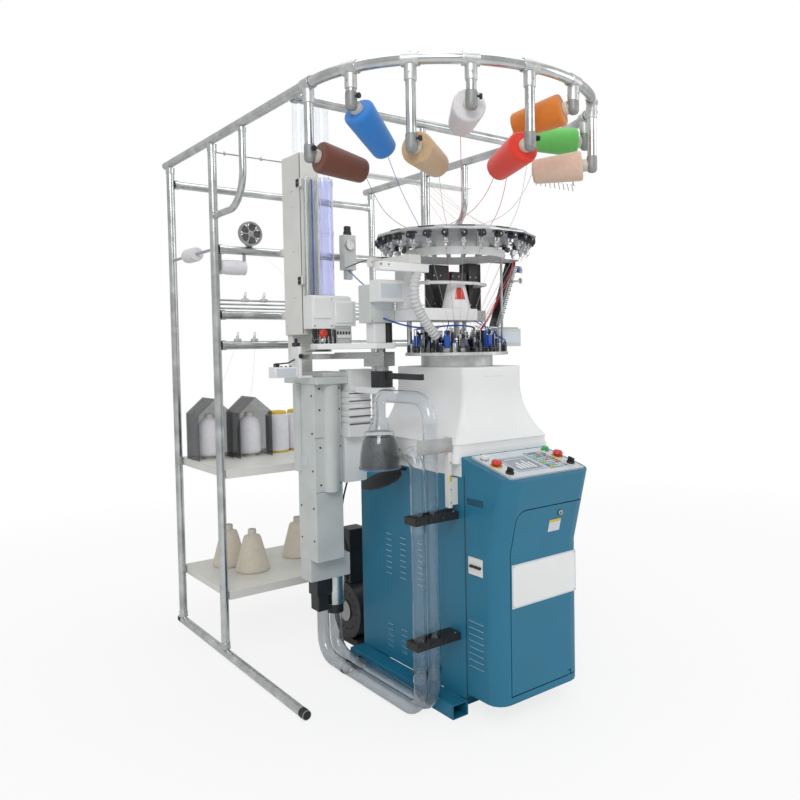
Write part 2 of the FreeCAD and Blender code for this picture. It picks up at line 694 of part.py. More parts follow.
def console_shell():
    outside = -CABINET_HALF - 1
    inside = -CABINET_HALF + CONSOLE_WALL + 1
    cuts = [console_form(CONSOLE_WALL), door_bar(DOOR_GAP),
            box(outside, -CABINET_HALF + CONSOLE_WALL / 2, HANDLE_Y0, HANDLE_Y1, HANDLE_Z0, HANDLE_Z1),
            box(outside, inside, BREAKER_Y0, BREAKER_Y1, BREAKER_Z0, BREAKER_Z1)]
    shell = console_form().cut(cuts + stem_holes())
    # one hinge lug in the left jamb, the other below the door where the front is still flat
    shell = shell.fuse(hinge_lug(DOOR_LEFT - DOOR_GAP, -1) + hinge_lug(FLAT_RIGHT - LUG_WIDE, 1))
    # the back wall is a sheet of its own that meets the rest face to face
    back = box(outside, -outside, CABINET_FRONT - CONSOLE_WALL, CABINET_FRONT + 1, 0, CONSOLE_BACK_Z + 1)
    return group([shell.cut(back), shell.common(back)])


def lock_face_y():
    # the door's outer face at the lock's height
    return CONSOLE_FRONT + FRONT_SLOPE * (LOCK_Z - CONSOLE_KINK_Z)


def console_door():
    door = console_form().cut(console_form(DOOR_THICK)).common(door_bar(0.0))
    bore = bore_across(HINGE_PIN, SHAFT_FIT, PIN_SIDES)
    reach = PIN_REACH + SEAT
    notch = FLAT_RIGHT - LUG_WIDE - DOOR_GAP
    face = lock_face_y()
    cuts = [box(notch, FLAT_RIGHT + DOOR_GAP, CONSOLE_FRONT - 1, CONSOLE_FRONT + 2 * DOOR_THICK, DOOR_BOTTOM - 1,
                DOOR_AXIS_Z + HINGE_PIN + DOOR_GAP),
            tube([(LOCK_X, face - DOOR_THICK, LOCK_Z), (LOCK_X, face + 2 * DOOR_THICK, LOCK_Z)],
                 bore_across(LOCK_DIAMETER, SHAFT_FIT, PIN_SIDES), PIN_SIDES)]
    for edge, side in ((DOOR_LEFT, 1), (notch, -1)):
        cuts.append(tube([(edge - side, DOOR_AXIS_Y, DOOR_AXIS_Z), (edge + side * reach, DOOR_AXIS_Y, DOOR_AXIS_Z)],
                         bore, PIN_SIDES))
    door = door.cut(cuts)
    # the flat part and the two facets of the rounded corner meet face to face
    inner_edge = polar(CONSOLE_CORNER - DOOR_THICK, 90 / CORNER_STEPS)[1]
    limits = (DOOR_LEFT - 1, FLAT_RIGHT, FLAT_RIGHT + inner_edge, CABINET_HALF)
    return group([door.common(box(x0, x1, CONSOLE_LIP_Y, CABINET_FRONT, 0, CONSOLE_LIP_Z))
                  for x0, x1 in zip(limits, limits[1:])])


def door_lock():
    # lock barrel through the door with its latch turned down, as unlocked
    y0 = lock_face_y() - DOOR_THICK / 2
    y1 = y0 + 2.7 * DOOR_THICK
    half = LOCK_DIAMETER / 2
    return group([tube([(LOCK_X, y0, LOCK_Z), (LOCK_X, y1, LOCK_Z)], LOCK_DIAMETER, PIN_SIDES),
                  box(LOCK_X - half, LOCK_X + half, y1, y1 + SHEET, LOCK_Z - LATCH_LONG, LOCK_Z + half)])


def control_panel():
    plate = box(-BEZEL_HALF, BEZEL_HALF, BEZEL_FROM, BEZEL_TO, 0, BEZEL_THICK)
    window = box(*SCREEN, BEZEL_THICK - SCREEN_DEEP, BEZEL_THICK + 1)
    keys = box(*KEYPAD, BEZEL_THICK, BEZEL_THICK + 1)
    return on_panel(plate.cut(window).fuse(keys)).cut(stem_holes())


def push_button(place, cap_profile):
    # a cap on a square stem, standing off by its travel
    bottom = BEZEL_THICK + PUSH_TRAVEL + SEAT
    cap = faceted([(r, bottom + h) for r, h in cap_profile], CAP_SIDES, (*place, 0))
    return on_panel(group([cap, panel_bar(place, STEM, -2 * CONSOLE_WALL, bottom)]))


def plain_button(place):
    return push_button(place, [(BUTTON_DIAMETER / 2, 0), (BUTTON_DIAMETER / 2, BUTTON_HIGH)])


def mushroom_profile():
    r = MUSHROOM_DIAMETER / 2
    return [(r * 3 / 4, 0), (r, MUSHROOM_HIGH / 3), (r, MUSHROOM_HIGH * 2 / 3), (r * 3 / 4, MUSHROOM_HIGH)]


def selector_knob(place):
    bottom = BEZEL_THICK + SEAT
    base = faceted([(KNOB_DIAMETER / 2, bottom), (KNOB_DIAMETER / 2, bottom + KNOB_HIGH)], TUBE_SIDES, (*place, 0))
    half = KNOB_RIDGE / 2
    reach = KNOB_DIAMETER / 2 - 1
    ridge = box(place[0] - half, place[0] + half, place[1] - reach, place[1] + reach,
                bottom + KNOB_HIGH, bottom + KNOB_HIGH + KNOB_RIDGE_HIGH)
    return on_panel(group([base, ridge]))


BREAKER_FACE = -CABINET_HALF + BREAKER_INSET
BREAKER_MID_Z = (BREAKER_Z0 + BREAKER_Z1) / 2


def breaker_body():
    body = box(BREAKER_FACE, BREAKER_FACE + BREAKER_DEEP, BREAKER_Y0 + SEAT, BREAKER_Y1 - SEAT,
               BREAKER_Z0 + SEAT, BREAKER_Z1 - SEAT)
    slot = box(BREAKER_FACE - 1, BREAKER_FACE + LEVER_SLOT_DEEP, BREAKER_Y0 + BREAKER_EDGE,
               BREAKER_Y1 - BREAKER_EDGE, BREAKER_MID_Z - LEVER_SLOT / 2, BREAKER_MID_Z + LEVER_SLOT / 2)
    return body.cut(slot)


def breaker_lever():
    edge = BREAKER_EDGE + SEAT
    return box(BREAKER_FACE - LEVER_OUT, BREAKER_FACE + LEVER_SLOT_DEEP - SHEET, BREAKER_Y0 + edge,
               BREAKER_Y1 - edge, BREAKER_MID_Z - LEVER_HIGH / 2, BREAKER_MID_Z + LEVER_HIGH / 2)


# ---- drive inside the housing -----------------------------------------------
def drive_unit():
    # a plate across the housing's inside carries the motor; the toothed belt runs above it
    half_x = HOUSING_HALF - HOUSING_WALL - SEAT
    half_y = HOUSING_HALF_Y - HOUSING_WALL - SEAT
    bottom = DRIVE_PLATE_TOP - DRIVE_PLATE_THICK
    hole = MOTOR_SHAFT / 2 + RUNNING
    throat = CYLINDER_BORE / 2
    plate = box(-half_x, half_x, -half_y, half_y, bottom, DRIVE_PLATE_TOP)
    plate = plate.cut([box(-hole, hole, MOTOR_Y - hole, MOTOR_Y + hole, bottom - 1, DRIVE_PLATE_TOP + 1),
                       box(-throat, throat, -throat, throat, bottom - 1, DRIVE_PLATE_TOP + 1)])
    motor = post(0, MOTOR_Y, bottom - MOTOR_LONG, bottom, MOTOR_DIAMETER)
    return group([plate, motor])


def motor_pulley():
    bottom = DRIVE_PLATE_TOP - DRIVE_PLATE_THICK + SEAT
    return group([post(0, MOTOR_Y, bottom, PULLEY_BOTTOM, MOTOR_SHAFT),
                  post(0, MOTOR_Y, PULLEY_BOTTOM, PULLEY_BOTTOM + PULLEY_WIDE, MOTOR_PULLEY)])


def belt_loop(extra):
    # the belt's run round both pulleys, grown outwards by extra
    points = []
    for radius, y, first in ((CYLINDER_PULLEY / 2, 0, 180), (MOTOR_PULLEY / 2, MOTOR_Y, 0)):
        for i in range(TUBE_SIDES // 2 + 1):
            reach = (radius + SEAT + extra) / math.cos(math.pi / TUBE_SIDES)
            dx, dy = polar(reach, first + 180 * i / (TUBE_SIDES // 2))
            points.append((dx, y + dy))
    z = PULLEY_BOTTOM + (PULLEY_WIDE - BELT_WIDE) / 2
    return prism_up(points, z, z + BELT_WIDE)


def drive_belt():
    return belt_loop(BELT_THICK).cut(belt_loop(0.0))


# ---- knitting head ----------------------------------------------------------
def needle_cylinder():
    pulley_top = PULLEY_BOTTOM + PULLEY_WIDE
    bore = post(0, 0, PULLEY_BOTTOM - 1, CYLINDER_TOP + 1, CYLINDER_BORE)
    return group([round_post(0, 0, pulley_top, CYLINDER_TOP, CYLINDER_DIAMETER).cut(bore),
                  post(0, 0, PULLEY_BOTTOM, pulley_top, CYLINDER_PULLEY).cut(bore)])


def head_bed():
    bed, plate = BED_DIAMETER / 2, PLATE_DIAMETER / 2
    block = faceted([(bed, HOUSING_TOP), (bed, BED_TOP), (plate, BED_TOP), (plate, PLATE_TOP)], CAM_BOXES, (0, 0, 0))
    return block.cut(round_post(0, 0, HOUSING_TOP - 1, PLATE_TOP + 1, CYLINDER_DIAMETER + 2 * SHAFT_FIT))


def cam_ring():
    # the cam ring has one flat side for each cam box set against it
    ring = post(0, 0, PLATE_TOP, CAM_RING_TOP, CAM_RING_DIAMETER, CAM_BOXES)
    ring = ring.cut(post(0, 0, PLATE_TOP - 1, CAM_RING_TOP + 1, bore_across(CYLINDER_DIAMETER, RUNNING)))
    start = flat_to_axis(CAM_RING_DIAMETER, CAM_BOXES)
    pieces = [ring]
    for i in range(CAM_BOXES):
        cam = box(start, CAM_BOX_REACH, -CAM_BOX_WIDE / 2, CAM_BOX_WIDE / 2, PLATE_TOP,
                  CAM_BOX_TOPS[i % len(CAM_BOX_TOPS)])
        pieces.append(turned_about_axis(cam, 360 * i / CAM_BOXES))
    return group(pieces)


def needle_dial():
    bottom = CYLINDER_TOP + DIAL_LIFT
    r, shaft = CYLINDER_DIAMETER / 2, DIAL_SHAFT / 2
    return faceted([(r, bottom), (r, bottom + DIAL_THICK), (shaft, bottom + DIAL_THICK), (shaft, PLATFORM_TOP - 1)],
                   TUBE_SIDES, (0, 0, 0))


def head_platform():
    bore = post(0, 0, PLATFORM_BOTTOM - 1, PLATFORM_TOP + 1, bore_across(DIAL_SHAFT, SHAFT_FIT))
    pieces = [prism_up(PLATFORM_PLAN, PLATFORM_BOTTOM, PLATFORM_TOP).cut(bore)]
    for angle in POST_ANGLES:
        pieces.append(post(*polar(HEAD_POST_REACH, angle), PLATE_TOP, PLATFORM_BOTTOM, HEAD_POST, 8))
    pieces.append(post(*polar(HEAD_POST_REACH, FRONT_POST_ANGLE), PLATE_TOP, GUIDE_RING_BOTTOM, HEAD_POST / 2, 8))
    return group(pieces)


def dial_cover():
    wide, narrow = DIAL_COVER_WIDE / 2, DIAL_COVER_NARROW / 2
    inset, drop = DIAL_COVER_EDGE
    return faceted([(wide, PLATFORM_TOP), (narrow, DIAL_COVER_TOP - drop), (narrow - inset, DIAL_COVER_TOP)],
                   16, (0, 0, 0))


def head_drives():
    # drive housings on the platform, the arm over the head's left side and the box beside the cams
    pieces = [box(left, right, DRIVE_FRONT, rear, PLATFORM_TOP, GUIDE_RING_BOTTOM - below)
              for left, right, rear, below in DRIVE_BLOCKS]
    left, right, front, rear = SIDE_POST
    box_left, box_bottom, box_top = SIDE_BOX
    pieces += [box(left, right, front, rear, PLATFORM_TOP, GUIDE_RING_BOTTOM),
               box(box_left, left, front, rear, box_bottom, box_top)]
    arm_left, arm_rear = HEAD_ARM_END
    cross_left, cross_right, cross_front = CROSS_ARM
    hose_left, hose_right, hose_front, hose_rear, hose_bottom = HOSE_ARM
    pieces += [box(arm_left, left, front, arm_rear, *HEAD_ARM_Z),
               box(cross_left, cross_right, cross_front, front, *HEAD_ARM_Z),
               box(hose_left, hose_right, hose_front, hose_rear, hose_bottom, HEAD_ARM_Z[0])]
    foot_x, foot_z = CAM_SIDE_BOX[0], CAM_SIDE_BOX[4]
    foot_long, foot_wide = CAM_SIDE_FOOT
    pieces += [box(*CAM_SIDE_BOX),
               box(foot_x, foot_x + foot_long, -foot_wide / 2, foot_wide / 2, PLATE_TOP, foot_z)]
    return group(pieces)


def guide_ring():
    # ring on the drive housings with pillars up to the feeder plate and the slanted thread comb
    outer = GUIDE_RING_DIAMETER / 2
    flat = flat_to_axis(GUIDE_RING_DIAMETER, RING_SIDES)
    ring = post(0, 0, GUIDE_RING_BOTTOM, GUIDE_RING_TOP, 2 * outer, RING_SIDES)
    ring = ring.cut(post(0, 0, GUIDE_RING_BOTTOM - 1, GUIDE_RING_TOP + 1, 2 * (outer - GUIDE_RING_WALL), RING_SIDES))
    pieces = [ring]
    for angle in (20, 140, 260):
        pillar = box(outer - GUIDE_RING_WALL, flat, -12, 12, GUIDE_RING_TOP, FEEDER_BOTTOM)
        pieces.append(turned_about_axis(pillar, angle))
    top = GUIDE_RING_TOP - COMB_THICK
    foot_x, foot_z = COMB_FOOT
    points = [(flat, top), (COMB_TOP_X + 14, top)]
    for i in range(COMB_TEETH):
        x = COMB_TOP_X + (foot_x - COMB_TOP_X) * i / COMB_TEETH
        z = top - 20 + (foot_z - top + 20) * i / COMB_TEETH
        points += [(x + 14, z), (x + 4, z - 4)]
    points += [(foot_x, foot_z), (foot_x - COMB_THICK, foot_z + 6), (COMB_TOP_X - 22, top - COMB_THICK),
               (flat, top - COMB_THICK)]
    pieces.append(prism_along_y(points, -COMB_WIDE / 2, COMB_WIDE / 2))
    return group(pieces)


def feeder_plate():
    r = FEEDER_ACROSS / 2
    return faceted([(r, FEEDER_BOTTOM), (r, FEEDER_BOTTOM + FEEDER_RIM), (r - FEEDER_BEVEL, FEEDER_TOP)],
                   TUBE_SIDES, (0, 0, 0))


def yarn_sensors():
    # each sensor hangs under the plate's rim with its eye block pointing outwards
    outer = flat_to_axis(FEEDER_ACROSS) + TUBE_SIDES
    inner = outer - SENSOR_DEEP
    eye = outer - SENSOR_EYE
    z = FEEDER_BOTTOM
    side = [(inner, z), (outer, z), (outer, z - SENSOR_TOP_HIGH), (eye, z - SENSOR_HIGH), (inner, z - SENSOR_HIGH)]
    one = prism_along_y(side, -SENSOR_WIDE / 2, SENSOR_WIDE / 2)
    return group([turned_about_axis(one, 360 * (i + 0.5) / SENSORS) for i in range(SENSORS)])


def hose_form(radii):
    # rings along the hose's route; both end rings lie level, and every ring keeps one steady side axis
    curve = Part.BezierCurve()
    curve.setPoles([V(*p) for p in HOSE_ROUTE])
    last = len(radii) - 1
    rings = []
    for i, radius in enumerate(radii):
        at, way = curve.value(i / last), curve.tangent(i / last)[0]
        if i in (0, last):
            way = V(0, 0, -1)
        across = way.cross(V(0, 1, 0)).normalize()
        side = across.cross(way)
        ring = []
        for k in range(8):
            u, w = polar(radius, 45 * (k + 0.5))
            ring.append(at + across * u + side * w)
        rings.append(ring)
    return skin(rings)


def suction_hose():
    ribbed = [HOSE_DIAMETER / 2 - (RIB_DEEP if i % 2 == 0 else 0) for i in range(2 * HOSE_RIBS + 1)]
    return hose_form(ribbed).cut(hose_form([HOSE_BORE / 2] * (HOSE_RIBS - 2)))


# ---- creel ------------------------------------------------------------------
LEFT_X = RING_X - RING_RADIUS
RIGHT_X = RING_X + RING_RADIUS
TUBE_FLAT = flat_to_axis(TUBE)


def ring_point(angle):
    dx, dy = polar(RING_RADIUS, angle)
    return (RING_X + dx, RING_Y + dy, RING_Z)


def creel_ring():
    # bent from one tube; each tee sits on a straight piece of it
    points = [(LEFT_X, RING_END_Y, RING_Z), (LEFT_X, RING_BEND_Y, RING_Z)]
    for angle in TEE_ANGLES[1:]:
        points += [ring_point(angle - TEE_TURN), ring_point(angle + TEE_TURN)]
    points += [ring_point(RING_LAST_CORNER), (RIGHT_X, RING_BEND_Y, RING_Z), (RIGHT_X, RING_END_Y, RING_Z)]
    return tube(points, TUBE)


def tee_place(index):
    # centre of a tee and the ring tube's direction there
    angle = TEE_ANGLES[index]
    if index == 0:
        return V(LEFT_X, RING_Y + RING_RADIUS * math.sin(math.radians(angle)), RING_Z), -90.0
    dx, dy = polar(RING_RADIUS * math.cos(math.radians(TEE_TURN)), angle)
    return V(RING_X + dx, RING_Y + dy, RING_Z), angle + 90


def sleeve_at(centre, direction):
    # six-sided sleeve round the ring tube
    along = V(*polar(TEE_LONG / 2, direction), 0)
    rings = []
    for reach in (TEE_ACROSS / 2, TUBE / 2 + SEAT):
        corner = reach / math.cos(math.pi / 6)
        side = V(*polar(1, direction + 90), 0)
        ring = [side * (corner * math.cos(math.radians(60 * k))) + V(0, 0, corner * math.sin(math.radians(60 * k)))
                for k in range(6)]
        rings.append(ring)
    outer = skin([[centre - along + p for p in rings[0]], [centre + along + p for p in rings[0]]])
    bore = skin([[centre - along * 2 + p for p in rings[1]], [centre + along * 2 + p for p in rings[1]]])
    return outer.cut(bore)


def tee_fittings():
    # sleeves on the ring with a drop tube below each
    pieces = []
    for i in range(len(TEE_ANGLES)):
        centre, direction = tee_place(i)
        pieces.append(sleeve_at(centre, direction))
        holder_top = HUB_HEIGHTS[i] + HOLDER_HIGH / 2
        pieces.append(post(centre.x, centre.y, holder_top, RING_Z - TEE_ACROSS / 2, TEE_DROP, 6))
    return group(pieces)


def holder_frame(index):
    # where a package holder's hub stands and which way its spindle points
    centre, _ = tee_place(index)
    inward = math.degrees(math.atan2(-centre.y, -centre.x)) + PACKAGE_TURNS[index]
    flat = V(*polar(1, inward), 0)
    tilt = math.radians(PACKAGE_TILTS[index])
    way = flat * math.cos(tilt) + V(0, 0, math.sin(tilt))
    at = V(centre.x, centre.y, HUB_HEIGHTS[index])
    return at, flat, way, inward


def package_holders():
    pieces = []
    half = HOLDER_WIDE / 2
    for i in range(len(TEE_ANGLES)):
        at, flat, way, inward = holder_frame(i)
        body = box(-half, half, -half, half, -HOLDER_HIGH / 2, HOLDER_HIGH / 2)
        body.Placement = FreeCAD.Placement(at, FreeCAD.Rotation(V(0, 0, 1), inward))
        face = at + way * (half / way.dot(flat))
        pieces += [body, tube([tuple(face), tuple(face + way * HUB_THICK)], HUB_DIAMETER, 6, flat)]
    return group(pieces)


def yarn_packages():
    butt, tip, bevel = PACKAGE_BUTT / 2, PACKAGE_TIP / 2, PACKAGE_BEVEL
    packages = []
    for i in range(len(TEE_ANGLES)):
        at, flat, way, _ = holder_frame(i)
        start = at + way * (HOLDER_WIDE / 2 / way.dot(flat) + HUB_THICK)
        packages.append(faceted([(butt, 0), (tip, PACKAGE_LONG - bevel), (tip - bevel, PACKAGE_LONG)], 10,
                                tuple(start), tuple(way)))
    return group(packages)


def creel_frame():
    # posts on floor tubes, cross rails between them and bent braces up to the ring
    pieces = []
    for x in (LEFT_X, RIGHT_X):
        pieces.append(tube([(x, FOOT_FRONT_Y, TUBE_FLAT), (x, REAR_POST_Y + TUBE, TUBE_FLAT)], TUBE))
        for y in (POST_Y, REAR_POST_Y):
            pieces.append(post(x, y, 2 * TUBE_FLAT, RING_Z - TUBE_FLAT, TUBE))
        points = [(x, BRACE_Y, RING_Z - TUBE_FLAT)]
        points += bend_points((BRACE_Y + BRACE_BEND, BRACE_END_Z + BRACE_BEND), BRACE_BEND, 180, 270, 3,
                              lambda y, z: (x, y, z))
        points.append((x, POST_Y - TUBE_FLAT, BRACE_END_Z))
        pieces.append(tube(points, BRACE_TUBE, 8))
    for y, z in ((CROSS_TUBE_Y, RING_Z), (REAR_POST_Y, REAR_RAIL_Z), (POST_Y, UPPER_RAIL_Z), (POST_Y, MIDDLE_RAIL_Z),
                 (POST_Y, LOWER_RAIL_Z)):
        pieces.append(tube([(LEFT_X + TUBE_FLAT, y, z), (RIGHT_X - TUBE_FLAT, y, z)], TUBE))
    return group(pieces)


def rack_place():
    dx, dy = polar(RING_RADIUS, RACK_ANGLE)
    return RING_X + dx, RING_Y + dy


def yarn_guides():
    # thin rods between the posts, the rod for the side spool, the toothed rack and the spools' brackets
    pieces = spool_brackets()
    for z in HOOK_ROD_HEIGHTS:
        pieces.append(tube([(LEFT_X + TUBE_FLAT, POST_Y, z), (RIGHT_X - TUBE_FLAT, POST_Y, z)], HOOK_ROD, 6))
    pieces.append(tube([(LEFT_X, POST_Y + TUBE_FLAT, UPPER_RAIL_Z), (LEFT_X, REAR_POST_Y - TUBE_FLAT, UPPER_RAIL_Z)],
                       SIDE_ROD, 6))
    x, y = rack_place()
    pitch = RACK_LONG / RACK_TEETH
    points = [(x - RACK_LONG, RACK_Z), (x - RACK_LONG, RACK_Z + RACK_HIGH), (x, RACK_Z + RACK_HIGH), (x, RACK_Z)]
    for i in range(RACK_TEETH):
        tooth = x - (i + 0.5) * pitch
        points += [(tooth + pitch / 5, RACK_Z), (tooth, RACK_Z - TOOTH_LONG), (tooth - pitch / 5, RACK_Z)]
    pieces.append(prism_along_y(points, y, y + RACK_THICK))
    pieces.append(box(x - RACK_HIGH, x, y - RACK_THICK, y, RACK_Z, RING_Z - TUBE_FLAT))
    return group(pieces)


def creel_shelves():
    # two shelves between the posts, each a sheet with a lip turned down along every side
    plates = []
    x0, x1 = LEFT_X + TUBE_FLAT, RIGHT_X - TUBE_FLAT
    y0, y1 = POST_Y - TUBE / 2, REAR_POST_Y + TUBE / 2
    for top in (SHELF_LOW_Z, SHELF_HIGH_Z):
        under = top - SHEET
        plates.append(box(x0, x1, y0, y1, under, top))
        for lip in (y0, y1 - SHEET):
            plates.append(box(x0, x1, lip, lip + SHEET, top - SHELF_THICK, under))
        for lip in (x0, x1 - SHEET):
            plates.append(box(lip, lip + SHEET, y0 + SHEET, y1 - SHEET, top - SHELF_THICK, under))
    return group(plates)


def shelf_yarn():
    # wound bobbins on the upper shelf and cones on the lower one
    pieces = []
    r = BOBBIN_DIAMETER / 2
    for x, y in BOBBIN_PLACES:
        pieces.append(faceted([(r, 0), (r, BOBBIN_SHOULDER), (r - 10, BOBBIN_HIGH)], 10, (x, y, SHELF_HIGH_Z)))
    for x, y in CONE_PLACES:
        pieces.append(faceted([(CONE_BUTT / 2, 0), (CONE_SHOULDER / 2, CONE_SHOULDER_HIGH),
                               (CONE_TIP / 2, CONE_SHOULDER_HIGH + 8), (CONE_TIP / 2, CONE_HIGH)], 10,
                              (x, y, SHELF_LOW_Z)))
    return group(pieces)


def cover_outline(x, inset):
    z = SHELF_HIGH_Z
    half = COVER_HALF - inset
    return [(x - half, z), (x + half, z), (x + half, z + COVER_EAVES - inset), (x, z + COVER_PEAK - inset),
            (x - half, z + COVER_EAVES - inset)]


def bobbin_covers():
    # translucent peaked covers over the two left bobbins, open to the front
    covers = []
    for x, y in BOBBIN_PLACES[:COVERED_BOBBINS]:
        hood = prism_along_y(cover_outline(x, 0.0), y - COVER_HALF, y + COVER_HALF)
        covers.append(hood.cut(prism_along_y(cover_outline(x, SHEET), y - COVER_HALF - 1, y + COVER_HALF - SHEET)))
    return group(covers)


def spool_brackets():
    # the yarn wheel's post and axle above the upper rail, the elastic spool's hangers and axle below it
    front = POST_Y - HOOK_ROD
    top = UPPER_RAIL_Z + TUBE_FLAT
    under = UPPER_RAIL_Z - TUBE_FLAT
    half = SPOOL_AXLE
    pieces = [box(WHEEL_X - half, WHEEL_X + half, front, POST_Y + HOOK_ROD, top, WHEEL_Z + half),
              tube([(WHEEL_X, front, WHEEL_Z), (WHEEL_X, front - WHEEL_THICK - HANGER, WHEEL_Z)], WHEEL_AXLE)]
    for x in (SPOOL_X0 - HANGER - SEAT, SPOOL_X1 + SEAT):
        pieces.append(box(x, x + HANGER, POST_Y - half, POST_Y + half, SPOOL_Z - half, under))
    pieces.append(tube([(SPOOL_X0 - SEAT, POST_Y, SPOOL_Z), (SPOOL_X1 + SEAT, POST_Y, SPOOL_Z)], SPOOL_AXLE))
    return pieces


def yarn_wheel():
    back = POST_Y - HOOK_ROD - SEAT
    start = (WHEEL_X, back, WHEEL_Z)
    wheel = tube([start, (WHEEL_X, back - WHEEL_THICK, WHEEL_Z)], WHEEL_DIAMETER, 20)
    place = frame_at(start, (0, -1, 0))
    cuts = [tube([(WHEEL_X, back + 1, WHEEL_Z), (WHEEL_X, back - WHEEL_THICK - 1, WHEEL_Z)],
                 bore_across(WHEEL_AXLE, SHAFT_FIT))]
    for i in range(WHEEL_WINDOWS):
        window = box(WHEEL_AXLE + 6, WHEEL_DIAMETER / 2 - 10, -11, 11, -1, WHEEL_THICK + 1)
        window.Placement = place.multiply(FreeCAD.Placement(V(0, 0, 0), FreeCAD.Rotation(V(0, 0, 1),
                                                                                         360 * i / WHEEL_WINDOWS)))
        cuts.append(window)
    return wheel.cut(cuts)


def elastic_spool():
    spool = tube([(SPOOL_X0, POST_Y, SPOOL_Z), (SPOOL_X1, POST_Y, SPOOL_Z)], SPOOL_DIAMETER)
    return spool.cut(tube([(SPOOL_X0 - 1, POST_Y, SPOOL_Z), (SPOOL_X1 + 1, POST_Y, SPOOL_Z)],
                          bore_across(SPOOL_AXLE, SHAFT_FIT)))


def side_spool():
    # turns on the rod between the two left posts
    y0, y1 = SIDE_SPOOL_Y, SIDE_SPOOL_Y + SIDE_SPOOL_LONG
    spool = tube([(LEFT_X, y0, UPPER_RAIL_Z), (LEFT_X, y1, UPPER_RAIL_Z)], SPOOL_DIAMETER)
    return spool.cut(tube([(LEFT_X, y0 - 1, UPPER_RAIL_Z), (LEFT_X, y1 + 1, UPPER_RAIL_Z)],
                          bore_across(SIDE_ROD, SHAFT_FIT)))


def hanging_post():
    # ties the feeder plate to the creel's cross tube and carries the clear guide strip
    y = CROSS_TUBE_Y + flat_to_axis(HANGING_POST)
    return group([post(HANGING_POST_X, CROSS_TUBE_Y, FEEDER_TOP, RING_Z - TUBE_FLAT, HANGING_POST),
                  box(STRIP_X0, STRIP_X1, y, y + STRIP_WIDE, STRIP_Z, STRIP_Z + HANGER)])


# ---- toe-closing device -----------------------------------------------------
def station_duct():
    # box duct with a half-round cover on its front, a cap above and collector and valve boxes below
    mid = (DUCT_LEFT + DUCT_RIGHT) / 2 + ROUND_SHIFT
    half_round = []
    for i in range(7):
        dx, dy = polar(DUCT_ROUND / 2, 180 + 30 * i)
        half_round.append((mid + dx, DUCT_FRONT + dy))
    flange_wide, flange_deep, flange_bottom = DUCT_FLANGE
    left_in, right_out, front_out, upper_high = UPPER_CAP
    cap_z = DUCT_TOP + CAP_THICK
    filter_z = COLLECTOR_Z - FILTER_LONG
    return group([box(DUCT_LEFT, DUCT_RIGHT, DUCT_FRONT, DUCT_REAR, DUCT_BOTTOM, DUCT_TOP),
                  prism_up(half_round, ROUND_BOTTOM, DUCT_TOP),
                  box(DUCT_LEFT - flange_wide, DUCT_LEFT, DUCT_REAR - flange_deep, DUCT_REAR, flange_bottom,
                      DUCT_TOP),
                  box(DUCT_LEFT - CAP_SIDE, DUCT_RIGHT + CAP_SIDE, DUCT_FRONT - CAP_FRONT, COLUMN_REAR, DUCT_TOP,
                      cap_z),
                  box(DUCT_LEFT + left_in, DUCT_RIGHT + right_out, DUCT_FRONT - front_out, DUCT_REAR, cap_z,
                      cap_z + upper_high),
                  box(DUCT_LEFT, HEAD_RIGHT, COLLECTOR_FRONT, DUCT_REAR, COLLECTOR_Z, DUCT_BOTTOM),
                  valve_box(VALVE, COLLECTOR_Z),
                  valve_box(VALVE_FOOT, VALVE_Z),
                  post(INNER_PIPE_X, PIPE_REAR_Y, filter_z, COLLECTOR_Z, FILTER),
                  post(INNER_PIPE_X, PIPE_REAR_Y, filter_z - FILTER_SOCKET_LONG, filter_z, FILTER_SOCKET)])


def valve_box(sizes, top):
    left, right, front, rear, high = sizes
    return box(OUTER_PIPE_X + left, OUTER_PIPE_X + right, PIPE_REAR_Y + front, PIPE_REAR_Y + rear, top - high, top)


def station_column():
    # post on the duct's cap, and on it the tall channel for the clear tubes
    left, web = COLUMN_LEFT + SHEET, COLUMN_RIGHT - SHEET
    pieces = [box(web, COLUMN_RIGHT, COLUMN_FRONT, COLUMN_REAR, COLUMN_BOTTOM, COLUMN_TOP)]
    for y in (COLUMN_FRONT, COLUMN_REAR - SHEET):
        pieces.append(box(left, web, y, y + SHEET, COLUMN_BOTTOM, COLUMN_TOP))
    for z in (COLUMN_BOTTOM, COLUMN_TOP - SHEET):
        pieces.append(box(left, web, COLUMN_FRONT + SHEET, COLUMN_REAR - SHEET, z, z + SHEET))
    foot_left, foot_right, foot_front = COLUMN_FOOT
    pieces.append(box(foot_left, foot_right, foot_front, COLUMN_REAR, DUCT_TOP + CAP_THICK, COLUMN_BOTTOM))
    half = COLUMN_STAY / 2
    stay_left, stay_end = COLUMN_RIGHT - COLUMN_STAY, POST_Y - TUBE_FLAT
    for z in (UPPER_RAIL_Z, MIDDLE_RAIL_Z):
        pieces.append(box(stay_left, COLUMN_RIGHT, COLUMN_REAR, stay_end, z - half, z + half))
    # a hinge pin stands on each of two lugs at the front edge
    y = COLUMN_FRONT - HINGE_BARREL / 2
    for z in HINGE_HEIGHTS:
        pieces.append(box(COLUMN_LEFT - LUG_OUT, COLUMN_LEFT + LUG_IN, COLUMN_FRONT - HINGE_BARREL, COLUMN_FRONT,
                          z - LUG_IN, z))
        pieces.append(post(COLUMN_LEFT, y, z, z + BARREL_HIGH, DOOR_PIN, PIN_SIDES))
    # a bar ties the thin clear tubes to the channel
    tube_back = THIN_TUBE_Y + flat_to_axis(THIN_TUBE, 8)
    tie_left = THIN_TUBES[0]
    pieces.append(box(tie_left, COLUMN_RIGHT, tube_back, COLUMN_FRONT, TUBE_STAY_Z, TUBE_STAY_Z + COLUMN_STAY))
    return group(pieces)


